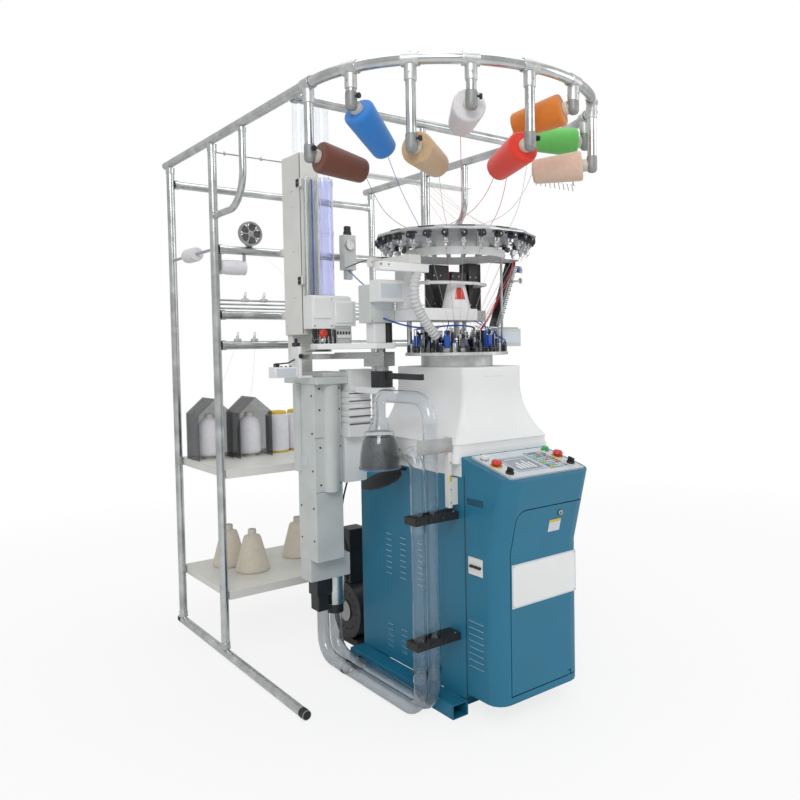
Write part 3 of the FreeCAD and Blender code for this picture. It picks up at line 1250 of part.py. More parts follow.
def column_door():
    leaf = box(COLUMN_LEFT, COLUMN_LEFT + SHEET - SEAT, COLUMN_FRONT + LEAF_BACK, COLUMN_REAR,
               COLUMN_BOTTOM + RUNNING, COLUMN_TOP - RUNNING)
    y = COLUMN_FRONT - HINGE_BARREL / 2
    parts, bores = [], []
    for z in HINGE_HEIGHTS:
        top = z + BARREL_HIGH
        parts.append(post(COLUMN_LEFT, y, z + SEAT, top, HINGE_BARREL, 8))
        parts.append(box(COLUMN_LEFT - 4, COLUMN_LEFT, y + 3, COLUMN_FRONT + 2 * LEAF_BACK, z + SEAT, top))
        bore = bore_across(DOOR_PIN, SHAFT_FIT, PIN_SIDES)
        bores.append(post(COLUMN_LEFT, y, z - 1, top + 1, bore, PIN_SIDES))
    return leaf.fuse(parts).cut(bores)


def linking_head():
    # motor head on the column with the dial's bearing, its terminal box and the stop button's plate
    rear_y = COLUMN_FRONT - SEAT
    body = box(COLUMN_LEFT, HEAD_RIGHT, HEAD_FRONT, rear_y, HEAD_BOTTOM, HEAD_TOP)
    body = body.cut(post(STATION_X, STATION_Y, HEAD_BOTTOM - 1, HEAD_BOTTOM + LINKING_BEARING,
                         bore_across(LINKING_SHAFT, SHAFT_FIT)))
    left, right, bottom = BUTTON_PLATE
    front, back = BUTTON_PLATE_Y, BUTTON_PLATE_Y + BUTTON_PLATE_THICK
    half = STEM / 2 + SEAT
    plate = box(left, right, front, back, bottom, HEAD_BOTTOM)
    plate = plate.cut(box(TOE_BUTTON_X - half, TOE_BUTTON_X + half, front - 1, back + 1, TOE_BUTTON_Z - half,
                          TOE_BUTTON_Z + half))
    box_left, box_right, box_front, box_bottom, box_top = TERMINAL_BOX
    return group([body, plate,
                  box(COLUMN_RIGHT + HEAD_GAP, HEAD_RIGHT, rear_y, HEAD_REAR, HEAD_BOTTOM, HEAD_TOP),
                  box(box_left, box_right, box_front, HEAD_FRONT, box_bottom, box_top),
                  box(*HEAD_FOOT, COVER_PLATE_Z + COVER_PLATE_THICK, HEAD_BOTTOM)])


def toe_stop_button():
    y = BUTTON_PLATE_Y - SEAT - PUSH_TRAVEL
    x, z = TOE_BUTTON_X, TOE_BUTTON_Z
    half = STEM / 2
    cap = faceted(mushroom_profile(), CAP_SIDES, (x, y, z), (0, -1, 0))
    return group([cap, box(x - half, x + half, y, y + TOE_STEM_LONG, z - half, z + half)])


def linking_dial():
    shaft = LINKING_SHAFT / 2
    profile = list(LINKING_PROFILE)
    profile += [(shaft, profile[-1][1]), (shaft, HEAD_BOTTOM + LINKING_BEARING - RUNNING)]
    return faceted(profile, TUBE_SIDES, (STATION_X, STATION_Y, 0))


def swing_arm():
    # tapered arm from the pivot to the pickup ring under the linking dial
    dx, dy = STATION_X - PIVOT_X, STATION_Y - PIVOT_Y
    length = math.hypot(dx, dy)
    wide, narrow = ARM_WIDE / 2, ARM_NARROW / 2
    near, far = ARM_SHOULDER, length - RING_DISC / 2 + ARM_SEAM
    beam = prism_up([(-ARM_TAIL, -wide), (near, -wide), (far, -narrow), (far, narrow), (near, wide),
                     (-ARM_TAIL, wide)], ARM_BOTTOM, ARM_TOP)
    relief = box(2 * near, length, -ARM_WIDE, ARM_WIDE, ARM_BOTTOM - 1, RING_DISC_BOTTOM)
    disc = post(length, 0, RING_DISC_BOTTOM, RING_DISC_TOP, RING_DISC, 20)
    arm = beam.cut(relief).fuse(disc)
    arm = arm.cut([post(0, 0, ARM_BOTTOM - 1, ARM_TOP + 1, bore_across(PIVOT_POST, SHAFT_FIT)),
                   post(length, 0, RING_DISC_BOTTOM - 1, RING_DISC_TOP + 1, RING_DISC_BORE)])
    heading = math.degrees(math.atan2(dy, dx))
    arm.Placement = FreeCAD.Placement(V(PIVOT_X, PIVOT_Y, 0), FreeCAD.Rotation(V(0, 0, 1), heading))
    return arm


def fin_stack(x0, x1, y0, y1, z0, z1, count):
    # block with V grooves round it, two rings of corners to a fin
    rings = []
    step = (z1 - z0) / count
    for i in range(count):
        for inset, z in ((0, z0 + i * step), (0, z0 + i * step + step / 2), (FIN_GROOVE, z0 + (i + 0.75) * step)):
            rings.append([V(x0 + inset, y0 + inset, z), V(x1, y0 + inset, z), V(x1, y1, z), V(x0 + inset, y1, z)])
    rings.append([V(x0, y0, z1), V(x1, y0, z1), V(x1, y1, z1), V(x0, y1, z1)])
    return skin(rings)


def toe_frame():
    # stacked drive housings behind the cabinet's left side with the arm's bracket, collar and pivot
    side = -CABINET_HALF
    leg_front, leg_bottom = FRAME_LEG
    flange_z0, flange_z1 = FRAME_FLANGE
    out_left, out_rear = FLANGE_OUT
    head_left, head_right, head_top = FRAME_HEAD
    left, right, front, bottom = ARM_BRACKET
    return group([box(FRAME_LEFT, side, leg_front, FRAME_REAR, leg_bottom, flange_z0),
                  box(FRAME_LEFT - out_left, side, FRAME_FRONT, FRAME_REAR + out_rear, flange_z0, flange_z1),
                  fin_stack(FRAME_LEFT, side, FRAME_FRONT, FRAME_REAR, flange_z1, FIN_TOP, FINS),
                  box(head_left, head_right, FRAME_FRONT, FRAME_REAR, FIN_TOP, head_top),
                  box(left, right, front, FRAME_FRONT, bottom, BRACKET_TOP),
                  post(PIVOT_X, PIVOT_Y, BRACKET_TOP, ARM_BOTTOM - SEAT, PIVOT_COLLAR),
                  post(PIVOT_X, PIVOT_Y, ARM_BOTTOM - SEAT, COVER_PLATE_Z, PIVOT_POST)])


def arm_motor():
    # plate over the arm with the lifting motor's block, damper and cover
    z = COVER_PLATE_Z + COVER_PLATE_THICK
    cover_z = LIFT_COVER[4]
    return group([prism_up(COVER_PLATE_PLAN, COVER_PLATE_Z, z),
                  box(*LIFT_BLOCK, z, cover_z),
                  post(*DAMPER_PLACE, z, cover_z, TUBE, 8),
                  box(*LIFT_COVER)])


def hand_lever():
    # turns on the pivot's collar and reaches forward along the machine's side
    hub = post(PIVOT_X, PIVOT_Y, BRACKET_TOP + SEAT, LEVER_HUB_TOP, LEVER_HUB)
    hub = hub.cut(post(PIVOT_X, PIVOT_Y, BRACKET_TOP, LEVER_HUB_TOP + 1, bore_across(PIVOT_COLLAR, SHAFT_FIT)))
    wide, front, bottom, top = LEVER_BAR
    rear = PIVOT_Y - flat_to_axis(LEVER_HUB)
    return group([hub, box(PIVOT_X - wide / 2, PIVOT_X + wide / 2, front, rear, bottom, top)])


def clear_tubes():
    pieces = [post(x, THIN_TUBE_Y, HEAD_TOP, THIN_TUBE_TOP, THIN_TUBE, 8) for x in THIN_TUBES]
    pieces.append(post(LILAC_X, LILAC_Y, HEAD_TOP, LILAC_TOP, LILAC_TUBE))
    mid_x, mid_y = (ARCH_X + LILAC_X) / 2, (ARCH_Y + LILAC_Y) / 2
    span = math.hypot(LILAC_X - ARCH_X, LILAC_Y - ARCH_Y)
    ux, uy = (LILAC_X - ARCH_X) / span, (LILAC_Y - ARCH_Y) / span
    points = [(ARCH_X, ARCH_Y, COLUMN_TOP)]
    points += bend_points((0, ARCH_TOP - ARCH_TUBE / 2 - span / 2), span / 2, 180, 0, 4,
                          lambda u, z: (mid_x + ux * u, mid_y + uy * u, z))
    points.append((LILAC_X, LILAC_Y, LILAC_TOP))
    pieces.append(tube(points, ARCH_TUBE, PIPE_SIDES))
    return group(pieces)


def floor_run(x, start_y, start_z):
    # down behind the machine, forward along the floor and up beside the console
    points = [(x, start_y, start_z)]
    for y, first, last in ((start_y - PIPE_BEND, 0, -90), (PIPE_FRONT_Y + PIPE_BEND, -90, -180)):
        points += bend_points((y, FLOOR_PIPE_Z + PIPE_BEND), PIPE_BEND, first, last, 3, lambda v, z: (x, v, z))
    return points


def transport_pipes():
    # the outer pipe ends in an open elbow; the inner one crosses to the transfer bell
    x = OUTER_PIPE_X
    left, back = ELBOW
    outer = floor_run(x, PIPE_REAR_Y, VALVE_Z - VALVE_FOOT[4])
    outer += [(x, PIPE_FRONT_Y, OUTER_PIPE_TOP), (x - left, PIPE_FRONT_Y + back, OUTER_PIPE_TOP + back)]
    inner = floor_run(INNER_PIPE_X, PIPE_REAR_Y, COLLECTOR_Z - FILTER_LONG - FILTER_SOCKET_LONG)
    level = PIPE_CROSS_Z - PIPE_BEND
    shift = (BELL_X - INNER_PIPE_X) / (BELL_Y - PIPE_FRONT_Y)

    def across(y, z):
        return (INNER_PIPE_X + shift * (y - PIPE_FRONT_Y), y, z)

    inner += bend_points((PIPE_FRONT_Y + PIPE_BEND, level), PIPE_BEND, 180, 90, 3, across)
    inner += bend_points((BELL_Y - PIPE_BEND, level), PIPE_BEND, 90, 0, 3, across)
    inner.append((BELL_X, BELL_Y, BELL_TOP))
    return group([tube(outer, PIPE, PIPE_SIDES), tube(inner, PIPE, PIPE_SIDES)])


def transfer_bell():
    outer = faceted([(r, h) for r, h in BELL_PROFILE], TUBE_SIDES, (BELL_X, BELL_Y, BELL_BOTTOM))
    inside = [(r - BELL_WALL, h) for r, h in BELL_PROFILE]
    inside[0] = (inside[0][0], -1.0)
    inside[-1] = (inside[-1][0] - BELL_WALL, inside[-1][1] + 1.0)
    return outer.cut(faceted(inside, TUBE_SIDES, (BELL_X, BELL_Y, BELL_BOTTOM)))


FLAP_AXIS_X = -CABINET_HALF - FLAP_OUT
FLAP_AXIS_Z = BELL_BOTTOM - FLAP_DROP


def bell_flap():
    # round flap on a pin at the cabinet's side, hanging a little open
    x, y, z = FLAP_AXIS_X, BELL_Y, FLAP_AXIS_Z
    half, side = FLAP_THICK / 2, TONGUE_WIDE / 2
    disc = post(BELL_X, y, z - half, z + half, BELL_DIAMETER)
    tongue = box(BELL_X + TONGUE_FROM, x, y - side, y + side, z - half, z + half)
    barrel = tube([(x, y - side, z), (x, y + side, z)], 2 * FLAP_PIN, PIN_SIDES)
    bore = tube([(x, y - side - 1, z), (x, y + side + 1, z)], bore_across(FLAP_PIN, SHAFT_FIT, PIN_SIDES), PIN_SIDES)
    flap = disc.fuse([tongue, barrel]).cut(bore)
    flap.rotate(V(x, 0, z), V(0, 1, 0), FLAP_TILT)
    return flap


def pipe_brackets():
    # saddle clamps on the cabinet's side, the strap beside the housing and the flap's hinge ears
    side = -CABINET_HALF
    reach, half = CLAMP_REACH, CLAMP_HIGH / 2
    pieces = []
    for z in CLAMP_HEIGHTS:
        block = box(OUTER_PIPE_X - reach, side, PIPE_FRONT_Y - reach, PIPE_FRONT_Y + reach, z - half, z + half)
        pieces.append(block.cut([post(x, PIPE_FRONT_Y, z - half - 1, z + half + 1, PIPE + 2 * SEAT, PIPE_SIDES)
                                 for x in (OUTER_PIPE_X, INNER_PIPE_X)]))
    _, right, front, rear, _, _ = STRAP
    tie_left, tie_front, tie_bottom, tie_top = PIPE_TIE
    pieces += [box(*STRAP), box(right, side, front, rear, *STRAP_TAB),
               box(tie_left, right, tie_front, front, tie_bottom, tie_top)]
    x, z = FLAP_AXIS_X, FLAP_AXIS_Z
    pin = TONGUE_WIDE / 2 + SEAT
    for y in (BELL_Y - pin - HANGER, BELL_Y + pin):
        pieces.append(box(x - FLAP_PIN, side, y, y + HANGER, z - FLAP_PIN, z + FLAP_PIN))
    pieces.append(tube([(x, BELL_Y - pin, z), (x, BELL_Y + pin, z)], FLAP_PIN, PIN_SIDES))
    return group(pieces)


def air_units():
    # blower on the floor behind the cabinet and the air regulator on the upper rail
    radius = flat_to_axis(BLOWER_DIAMETER, 16)
    left, right = BLOWER_X
    inset = BLOWER_INSET
    foot, half = BLOWER_FOOT / 2, BLOWER_TIE / 2
    front, rear, top = BLOWER_MOTOR
    rail = POST_Y - TUBE_FLAT
    reg_left, reg_right, reg_deep, reg_bottom, reg_top = REGULATOR
    bowl_left, bowl_right, bowl_gap, bowl_bottom = REGULATOR_BOWL
    return group([tube([(left, BLOWER_Y, BLOWER_Z), (right, BLOWER_Y, BLOWER_Z)], BLOWER_DIAMETER, 16),
                  box(left + inset, right - inset, BLOWER_Y - foot, BLOWER_Y + foot, 0, BLOWER_Z - radius),
                  box(left + inset, right - 2 * inset, BLOWER_Y + front, BLOWER_Y + rear, BLOWER_Z + radius, top),
                  box(left + 2 * inset, right - 2 * inset, CABINET_REAR, BLOWER_Y - radius, BLOWER_Z - half,
                      BLOWER_Z + half),
                  box(reg_left, reg_right, rail - reg_deep, rail, reg_bottom, reg_top),
                  box(bowl_left, bowl_right, rail - reg_deep + bowl_gap, rail - bowl_gap, bowl_bottom, reg_bottom)])


def main():
    os.makedirs("parts", exist_ok=True)
    nodes = {
        "base_frame": base_frame(),
        "cabinet": cabinet(),
        "side_louvres": side_louvres(),
        "cabinet_plinth": cabinet_plinth(),
        "head_housing": head_housing(),
        "console_shell": console_shell(),
        "console_door": console_door(),
        "door_lock": door_lock(),
        "control_panel": control_panel(),
        "white_button": plain_button(WHITE_BUTTON),
        "green_button": plain_button(GREEN_BUTTON),
        "left_stop_button": push_button(LEFT_STOP, mushroom_profile()),
        "right_stop_button": push_button(RIGHT_STOP, mushroom_profile()),
        "left_selector_knob": selector_knob(LEFT_KNOB),
        "right_selector_knob": selector_knob(RIGHT_KNOB),
        "breaker_body": breaker_body(),
        "breaker_lever": breaker_lever(),
        "drive_unit": drive_unit(),
        "motor_pulley": motor_pulley(),
        "drive_belt": drive_belt(),
        "needle_cylinder": needle_cylinder(),
        "needle_dial": needle_dial(),
        "head_bed": head_bed(),
        "cam_ring": cam_ring(),
        "head_platform": head_platform(),
        "dial_cover": dial_cover(),
        "head_drives": head_drives(),
        "guide_ring": guide_ring(),
        "feeder_plate": feeder_plate(),
        "yarn_sensors": yarn_sensors(),
        "suction_hose": suction_hose(),
        "creel_ring": creel_ring(),
        "tee_fittings": tee_fittings(),
        "package_holders": package_holders(),
        "yarn_packages": yarn_packages(),
        "creel_frame": creel_frame(),
        "yarn_guides": yarn_guides(),
        "creel_shelves": creel_shelves(),
        "shelf_yarn": shelf_yarn(),
        "bobbin_covers": bobbin_covers(),
        "yarn_wheel": yarn_wheel(),
        "elastic_spool": elastic_spool(),
        "side_spool": side_spool(),
        "hanging_post": hanging_post(),
        "station_duct": station_duct(),
        "station_column": station_column(),
        "column_door": column_door(),
        "linking_head": linking_head(),
        "toe_stop_button": toe_stop_button(),
        "linking_dial": linking_dial(),
        "swing_arm": swing_arm(),
        "toe_frame": toe_frame(),
        "arm_motor": arm_motor(),
        "hand_lever": hand_lever(),
        "clear_tubes": clear_tubes(),
        "transport_pipes": transport_pipes(),
        "transfer_bell": transfer_bell(),
        "bell_flap": bell_flap(),
        "pipe_brackets": pipe_brackets(),
        "air_units": air_units(),
    }
    for name, shape in nodes.items():
        shape.exportStep("parts/" + name + ".step")


main()
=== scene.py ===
import bpy
import bmesh
import json
import math
import random
from itertools import product
from mathutils import Matrix, Vector

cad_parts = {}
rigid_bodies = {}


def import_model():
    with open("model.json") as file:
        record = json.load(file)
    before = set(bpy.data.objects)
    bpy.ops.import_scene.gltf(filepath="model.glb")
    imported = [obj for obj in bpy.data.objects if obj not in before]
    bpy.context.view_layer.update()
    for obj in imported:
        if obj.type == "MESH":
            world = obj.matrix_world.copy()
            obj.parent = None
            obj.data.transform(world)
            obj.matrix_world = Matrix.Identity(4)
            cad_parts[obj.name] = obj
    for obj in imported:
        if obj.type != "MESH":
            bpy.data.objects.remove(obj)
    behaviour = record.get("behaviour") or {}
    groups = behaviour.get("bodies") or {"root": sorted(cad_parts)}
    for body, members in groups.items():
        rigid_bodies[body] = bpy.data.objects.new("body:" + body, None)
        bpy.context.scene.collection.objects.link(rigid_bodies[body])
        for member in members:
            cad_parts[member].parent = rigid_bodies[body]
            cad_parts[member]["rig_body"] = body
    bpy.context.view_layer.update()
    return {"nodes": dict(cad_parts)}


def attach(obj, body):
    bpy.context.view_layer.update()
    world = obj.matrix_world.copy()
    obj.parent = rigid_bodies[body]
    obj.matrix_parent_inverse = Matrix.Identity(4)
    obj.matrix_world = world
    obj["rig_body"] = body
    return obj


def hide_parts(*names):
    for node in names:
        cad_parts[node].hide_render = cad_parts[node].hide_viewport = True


# Looks of the circular sock knitting machine. Sizes are in millimetres, and P() turns them into metres.
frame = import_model()
rng = random.Random(7)
MM = 0.001
RIGHT, LEFT, BACK, FRONT, UP = (1, 0, 0), (-1, 0, 0), (0, 1, 0), (0, -1, 0), (0, 0, 1)

# places and counts that several pieces share
TILT, PANEL_EDGE = 13.782, (0, -555, 905)      # the control panel's slope in degrees, and its front edge
SIDE, CONSOLE_FRONT = 215, -485                # half the cabinet's width, and the console's front below the bend
PUSHES = {"white": (-160, 205), "green": (162, 215)}
STOPS = {"left": (-162, 135), "right": (162, 145)}
KNOBS = {"left": (-160, 62), "right": (162, 72)}
NEEDLES, CHANNELS = 84, 28                     # round the cylinder, and yarn channels round the feeder plate
CAM_FLOOR, CAM_PADS, PLATE_TOP = 1358, 1376, 1842
SENSOR_R, EYELET_R, VALVE_R = 296, 252, 201
COMB_TOP, COMB_FOOT = (318, 1736), (214, 1466)
RING_Z, RING_R, RING_X, RING_Y = 2300, 579, -115, -85
LEFT_X, RIGHT_X = RING_X - RING_R, RING_X + RING_R
R_TUBE, FLAT = 18.35, 19 * math.cos(math.pi / 12)
RAIL_Y, REAR_Y = 835, 1389                     # the creel's middle and rear posts
UPPER_SHELF, LOWER_SHELF = 843, 295
DUCT_SIDE, DUCT_FRONT = -455, 400
LINK_X, LINK_Y, STOP_Y = -390, 470, 415.7
BELL, PIPES, PIPE_FRONT = (-330, 90, 895), (-378, -316), -235
BIG_TUBE = (-310, 545)
# each yarn package: its place round the ring, its hub's height, its slope and its turn away from the centre
PACKAGES = ((178.5, 2060, -8, -4), (200.8, 2193, -32, -2), (222.1, 2035, -6, -10), (241.5, 2170, -4, 4),
            (262.2, 2056, -12, 6), (284.5, 2217, -12, 26), (307.7, 2061, -5, 20), (330.0, 2200, 2, 12))


def P(x, y, z):
    return Vector((x * MM, y * MM, z * MM))


def polar(radius, angle):
    return radius * math.cos(math.radians(angle)), radius * math.sin(math.radians(angle))


def shift(x, y, z):
    return Matrix.Translation(P(x, y, z))


def turn_z(angle):
    return Matrix.Rotation(math.radians(angle), 4, "Z")


def turn_x(angle):
    return Matrix.Rotation(math.radians(angle), 4, "X")


def turned(points, place):
    # points in millimetres, moved by place
    return [tuple(v * 1000 for v in place @ P(*p)) for p in points]


# ---- materials --------------------------------------------------------------
def feed(tree, taker, inputs):
    # each input takes a value, or the socket that feeds it
    for key, value in inputs.items():
        if isinstance(value, bpy.types.NodeSocket):
            tree.links.new(value, taker.inputs[key])
        else:
            taker.inputs[key].default_value = value


def add_node(tree, kind, inputs=(), **settings):
    made = tree.nodes.new("ShaderNode" + kind)
    for key, value in settings.items():
        setattr(made, key, value)
    feed(tree, made, dict(inputs))
    return made


def surface(name, color, rough=0.4, metal=0.0, vary=0.06, scale=30.0, bump=0.05, grain=600.0, stretch=(1, 1, 1),
            spread=0.08, **sockets):
    mat = bpy.data.materials.new(name)
    mat.use_nodes = True
    tree = mat.node_tree
    place = add_node(tree, "TexCoord")
    turn = add_node(tree, "Mapping", {"Scale": stretch, "Vector": place.outputs["Object"]}).outputs["Vector"]
    cloud = add_node(tree, "TexNoise", {"Scale": scale, "Detail": 5, "Vector": turn}).outputs["Fac"]
    ramp = add_node(tree, "ValToRGB", {"Fac": cloud})
    for end, at, share in zip(ramp.color_ramp.elements, (0.3, 0.7), (1 - vary, 1 + vary)):
        end.position = at
        end.color = (*[min(1, c * share) for c in color], 1)
    gloss = add_node(tree, "MapRange", {"To Min": max(0.02, rough - spread), "To Max": min(1, rough + spread),
                                        "Value": cloud})
    fine = add_node(tree, "TexNoise", {"Scale": grain, "Detail": 3, "Vector": turn})
    relief = add_node(tree, "Bump", {"Strength": bump, "Distance": 0.001, "Height": fine.outputs["Fac"]})
    feed(tree, tree.nodes["Principled BSDF"], {
        "Metallic": metal, "Base Color": ramp.outputs["Color"], "Roughness": gloss.outputs["Result"],
        "Normal": relief.outputs["Normal"], **{key.replace("_", " "): value for key, value in sockets.items()}})
    return mat


def wound(name, color):
    # crosswise windings: two sets of fine helical threads and a little shade between them
    mat = surface(name, color, rough=0.8, vary=0.05, scale=60, bump=0.15, grain=1500, Sheen_Weight=0.35,
                  Sheen_Roughness=0.5)
    tree = mat.node_tree
    shader = tree.nodes["Principled BSDF"]
    uv = add_node(tree, "TexCoord").outputs["UV"]
    round_count, along_count = 26, 150
    waves = {}
    for i, sign in enumerate((1, -1)):
        turn = add_node(tree, "Mapping", {"Scale": (round_count * sign, along_count, 1), "Vector": uv})
        waves[i] = add_node(tree, "TexWave", {"Scale": 1.0, "Distortion": 0.6, "Vector": turn.outputs["Vector"]},
                            bands_direction="DIAGONAL").outputs["Fac"]
    height = add_node(tree, "Math", waves, operation="MAXIMUM").outputs["Value"]
    relief = add_node(tree, "Bump", {"Strength": 0.45, "Distance": 0.0012, "Height": height})
    tone = add_node(tree, "MapRange", {"To Min": 0.80, "To Max": 1.04, "Value": height})
    base = shader.inputs["Base Color"].links[0].from_socket
    shade = add_node(tree, "Mix", {"Factor": 1.0, 6: base, 7: tone.outputs["Result"]}, data_type="RGBA",
                     blend_type="MULTIPLY")
    feed(tree, shader, {"Normal": relief.outputs["Normal"], "Base Color": shade.outputs[2]})
    return mat


def clear(name, color):
    # thin clear plastic: it bends the view little, and the lights show on it
    return surface(name, color, rough=0.06, vary=0.02, scale=12, bump=0.02, grain=90, spread=0.03,
                   Transmission_Weight=1.0, IOR=1.12, Coat_Weight=0.8, Coat_Roughness=0.08)


def thread(name, color):
    return surface(name, color, 0.7, vary=0.1, scale=300, bump=0.3, grain=2500)


TEAL = surface("teal_paint", (0.010, 0.165, 0.280), 0.42, vary=0.06, scale=6, bump=0.05, grain=900, Coat_Weight=0.08)
WHITE = surface("white_paint", (0.83, 0.84, 0.84), 0.40, vary=0.03, scale=5, bump=0.06, grain=800)
CREAM = surface("cream_paint", (0.76, 0.76, 0.72), 0.42, vary=0.05, scale=8, bump=0.06, grain=800)
GREY = surface("grey_paint", (0.60, 0.63, 0.62), 0.42, vary=0.06, scale=9, bump=0.08, grain=700)
# pale tone for the screen's drawing, and painted light inside the louvre slits
PALE_SCREEN_MARKS_AND_SLIT_LIGHT = surface("pale_slot", (0.72, 0.77, 0.78), 0.5, vary=0.08)
BLACK = surface("black_metal", (0.020, 0.021, 0.023), 0.38, vary=0.25, scale=25, bump=0.12, grain=500)
RUBBER = surface("black_plastic", (0.018, 0.018, 0.020), 0.55, vary=0.2, scale=40, bump=0.2, grain=900)
TUBE_STEEL = surface("bright_tube", (0.62, 0.64, 0.64), 0.24, 1.0, vary=0.22, scale=14, grain=260)
STEEL = surface("machined_steel", (0.50, 0.51, 0.51), 0.30, 1.0, vary=0.18, scale=60, bump=0.12, grain=1200,
                stretch=(1, 1, 6))
# dark steel parts; also painted shade in the strips between the toe frame's ribs
DARK_STEEL_AND_RIB_SHADE = surface("dark_steel", (0.16, 0.16, 0.17), 0.35, 1.0, vary=0.3, scale=70, bump=0.15, grain=900)
CAST = surface("cast_aluminium", (0.66, 0.67, 0.67), 0.42, 0.85, vary=0.12, scale=45, bump=0.35, grain=800)
SCUFFED = surface("scuffed_aluminium", (0.60, 0.61, 0.62), 0.34, 0.9, vary=0.34, scale=11, bump=0.30, grain=420,
                  spread=0.16)
ZINC = surface("zinc_casting", (0.66, 0.67, 0.68), 0.34, 0.8, vary=0.16, scale=60, bump=0.2, grain=900)
MESH = surface("liner_mesh", (0.10, 0.105, 0.105), 0.30, 0.7, vary=0.5, scale=160, bump=0.5, grain=500, Alpha=0.82)
HOLDER = surface("holder_grey", (0.30, 0.31, 0.31), 0.45, 0.3, vary=0.12, scale=50, bump=0.25, grain=800)
IVORY = surface("ivory_plastic", (0.62, 0.60, 0.52), 0.45, vary=0.05, scale=40, bump=0.06)
RED = surface("red_plastic", (0.62, 0.035, 0.02), 0.28, vary=0.05, scale=40, bump=0.03, Coat_Weight=0.3)
YELLOW = surface("yellow_plastic", (0.70, 0.50, 0.03), 0.40, vary=0.06, scale=40, bump=0.04)
GREEN = surface("green_plastic", (0.04, 0.42, 0.12), 0.28, vary=0.05, scale=40, bump=0.03, Coat_Weight=0.3)
BLUE = surface("blue_plastic", (0.02, 0.09, 0.42), 0.32, vary=0.08, scale=40, bump=0.03)
BUTTON_WHITE = surface("white_plastic", (0.80, 0.80, 0.76), 0.25, vary=0.03, scale=40, bump=0.02, Coat_Weight=0.3)
PANEL = surface("panel_film", (0.46, 0.50, 0.56), 0.38, vary=0.04, scale=20, bump=0.04)
SCREEN = surface("screen_glass", (0.20, 0.24, 0.30), 0.12, vary=0.15, scale=7, bump=0.0, Coat_Weight=0.6)
AQUA = surface("key_membrane", (0.10, 0.34, 0.42), 0.40, vary=0.08, bump=0.04)
# painted shade: a darker teal for the back of the side's hand recess
PAINTED_RECESS_SHADE = surface("shaded_teal", (0.007, 0.075, 0.135), 0.50, vary=0.10, scale=14, bump=0.06, grain=800)
SIGN = surface("sign_plate", (0.62, 0.68, 0.72), 0.30, vary=0.03, scale=10, bump=0.02)
HOSE = surface("hose_plastic", (0.60, 0.61, 0.61), 0.45, scale=50)
CLEAR = clear("clear_acrylic", (0.94, 0.96, 0.98))
LILAC = clear("lilac_acrylic", (0.74, 0.76, 0.94))
FILM = surface("smoky_film", (0.055, 0.060, 0.066), 0.22, vary=0.3, scale=18, bump=0.25, grain=60, Alpha=0.50)
STRIP = surface("clear_strip", (0.75, 0.78, 0.78), 0.12, vary=0.05, scale=9, grain=50, Alpha=0.45)
YARN_WHITE = wound("white_yarn", (0.80, 0.80, 0.84))
YARN_CREAM = wound("cream_yarn", (0.72, 0.66, 0.55))
PACKAGE_YARNS = [wound(name + "_yarn", color) for name, color in (
    ("brown", (0.16, 0.045, 0.022)), ("blue", (0.02, 0.22, 0.66)), ("tan", (0.58, 0.40, 0.23)),
    ("pale", (0.78, 0.76, 0.78)), ("red", (0.78, 0.035, 0.015)), ("orange", (0.75, 0.22, 0.02)),
    ("rose", (0.76, 0.55, 0.43)), ("green", (0.14, 0.56, 0.12)))]
T_RED = thread("red_thread", (0.60, 0.02, 0.05))
T_WHITE = thread("white_thread", (0.62, 0.60, 0.58))
T_BROWN = thread("brown_thread", (0.25, 0.09, 0.06))
T_BLUE = thread("blue_thread", (0.05, 0.08, 0.60))


# ---- mesh tools -------------------------------------------------------------
def quads(rows, count, start=0, closed=True):
    # faces between rows of count points that follow each other
    return [[start + i * count + k, start + i * count + (k + 1) % count,
             start + (i + 1) * count + (k + 1) % count, start + (i + 1) * count + k]
            for i in range(rows - 1) for k in range(count if closed else count - 1)]


def sleeve(rows, sides, hollow):
    # faces of a round tube's outside and ends, and of its inside where it is hollow
    layer, ends = rows * sides, (0, (rows - 1) * sides)
    if not hollow:
        return quads(rows, sides) + [[e + k for k in range(sides)] for e in ends]
    return quads(rows, sides) + quads(rows, sides, layer) + [
        [e + k, e + (k + 1) % sides, e + (k + 1) % sides + layer, e + k + layer] for e in ends for k in range(sides)]


def rounded(half_x, half_y, r, steps, middle_y=0):
    # a rectangle's outline with round corners
    found = []
    for corner, (sx, sy) in enumerate(((1, 1), (-1, 1), (-1, -1), (1, -1))):
        for k in range(steps + 1):
            dx, dy = polar(r, 90 * (corner + k / steps))
            found.append((sx * (half_x - r) + dx, middle_y + sy * (half_y - r) + dy))
    return found


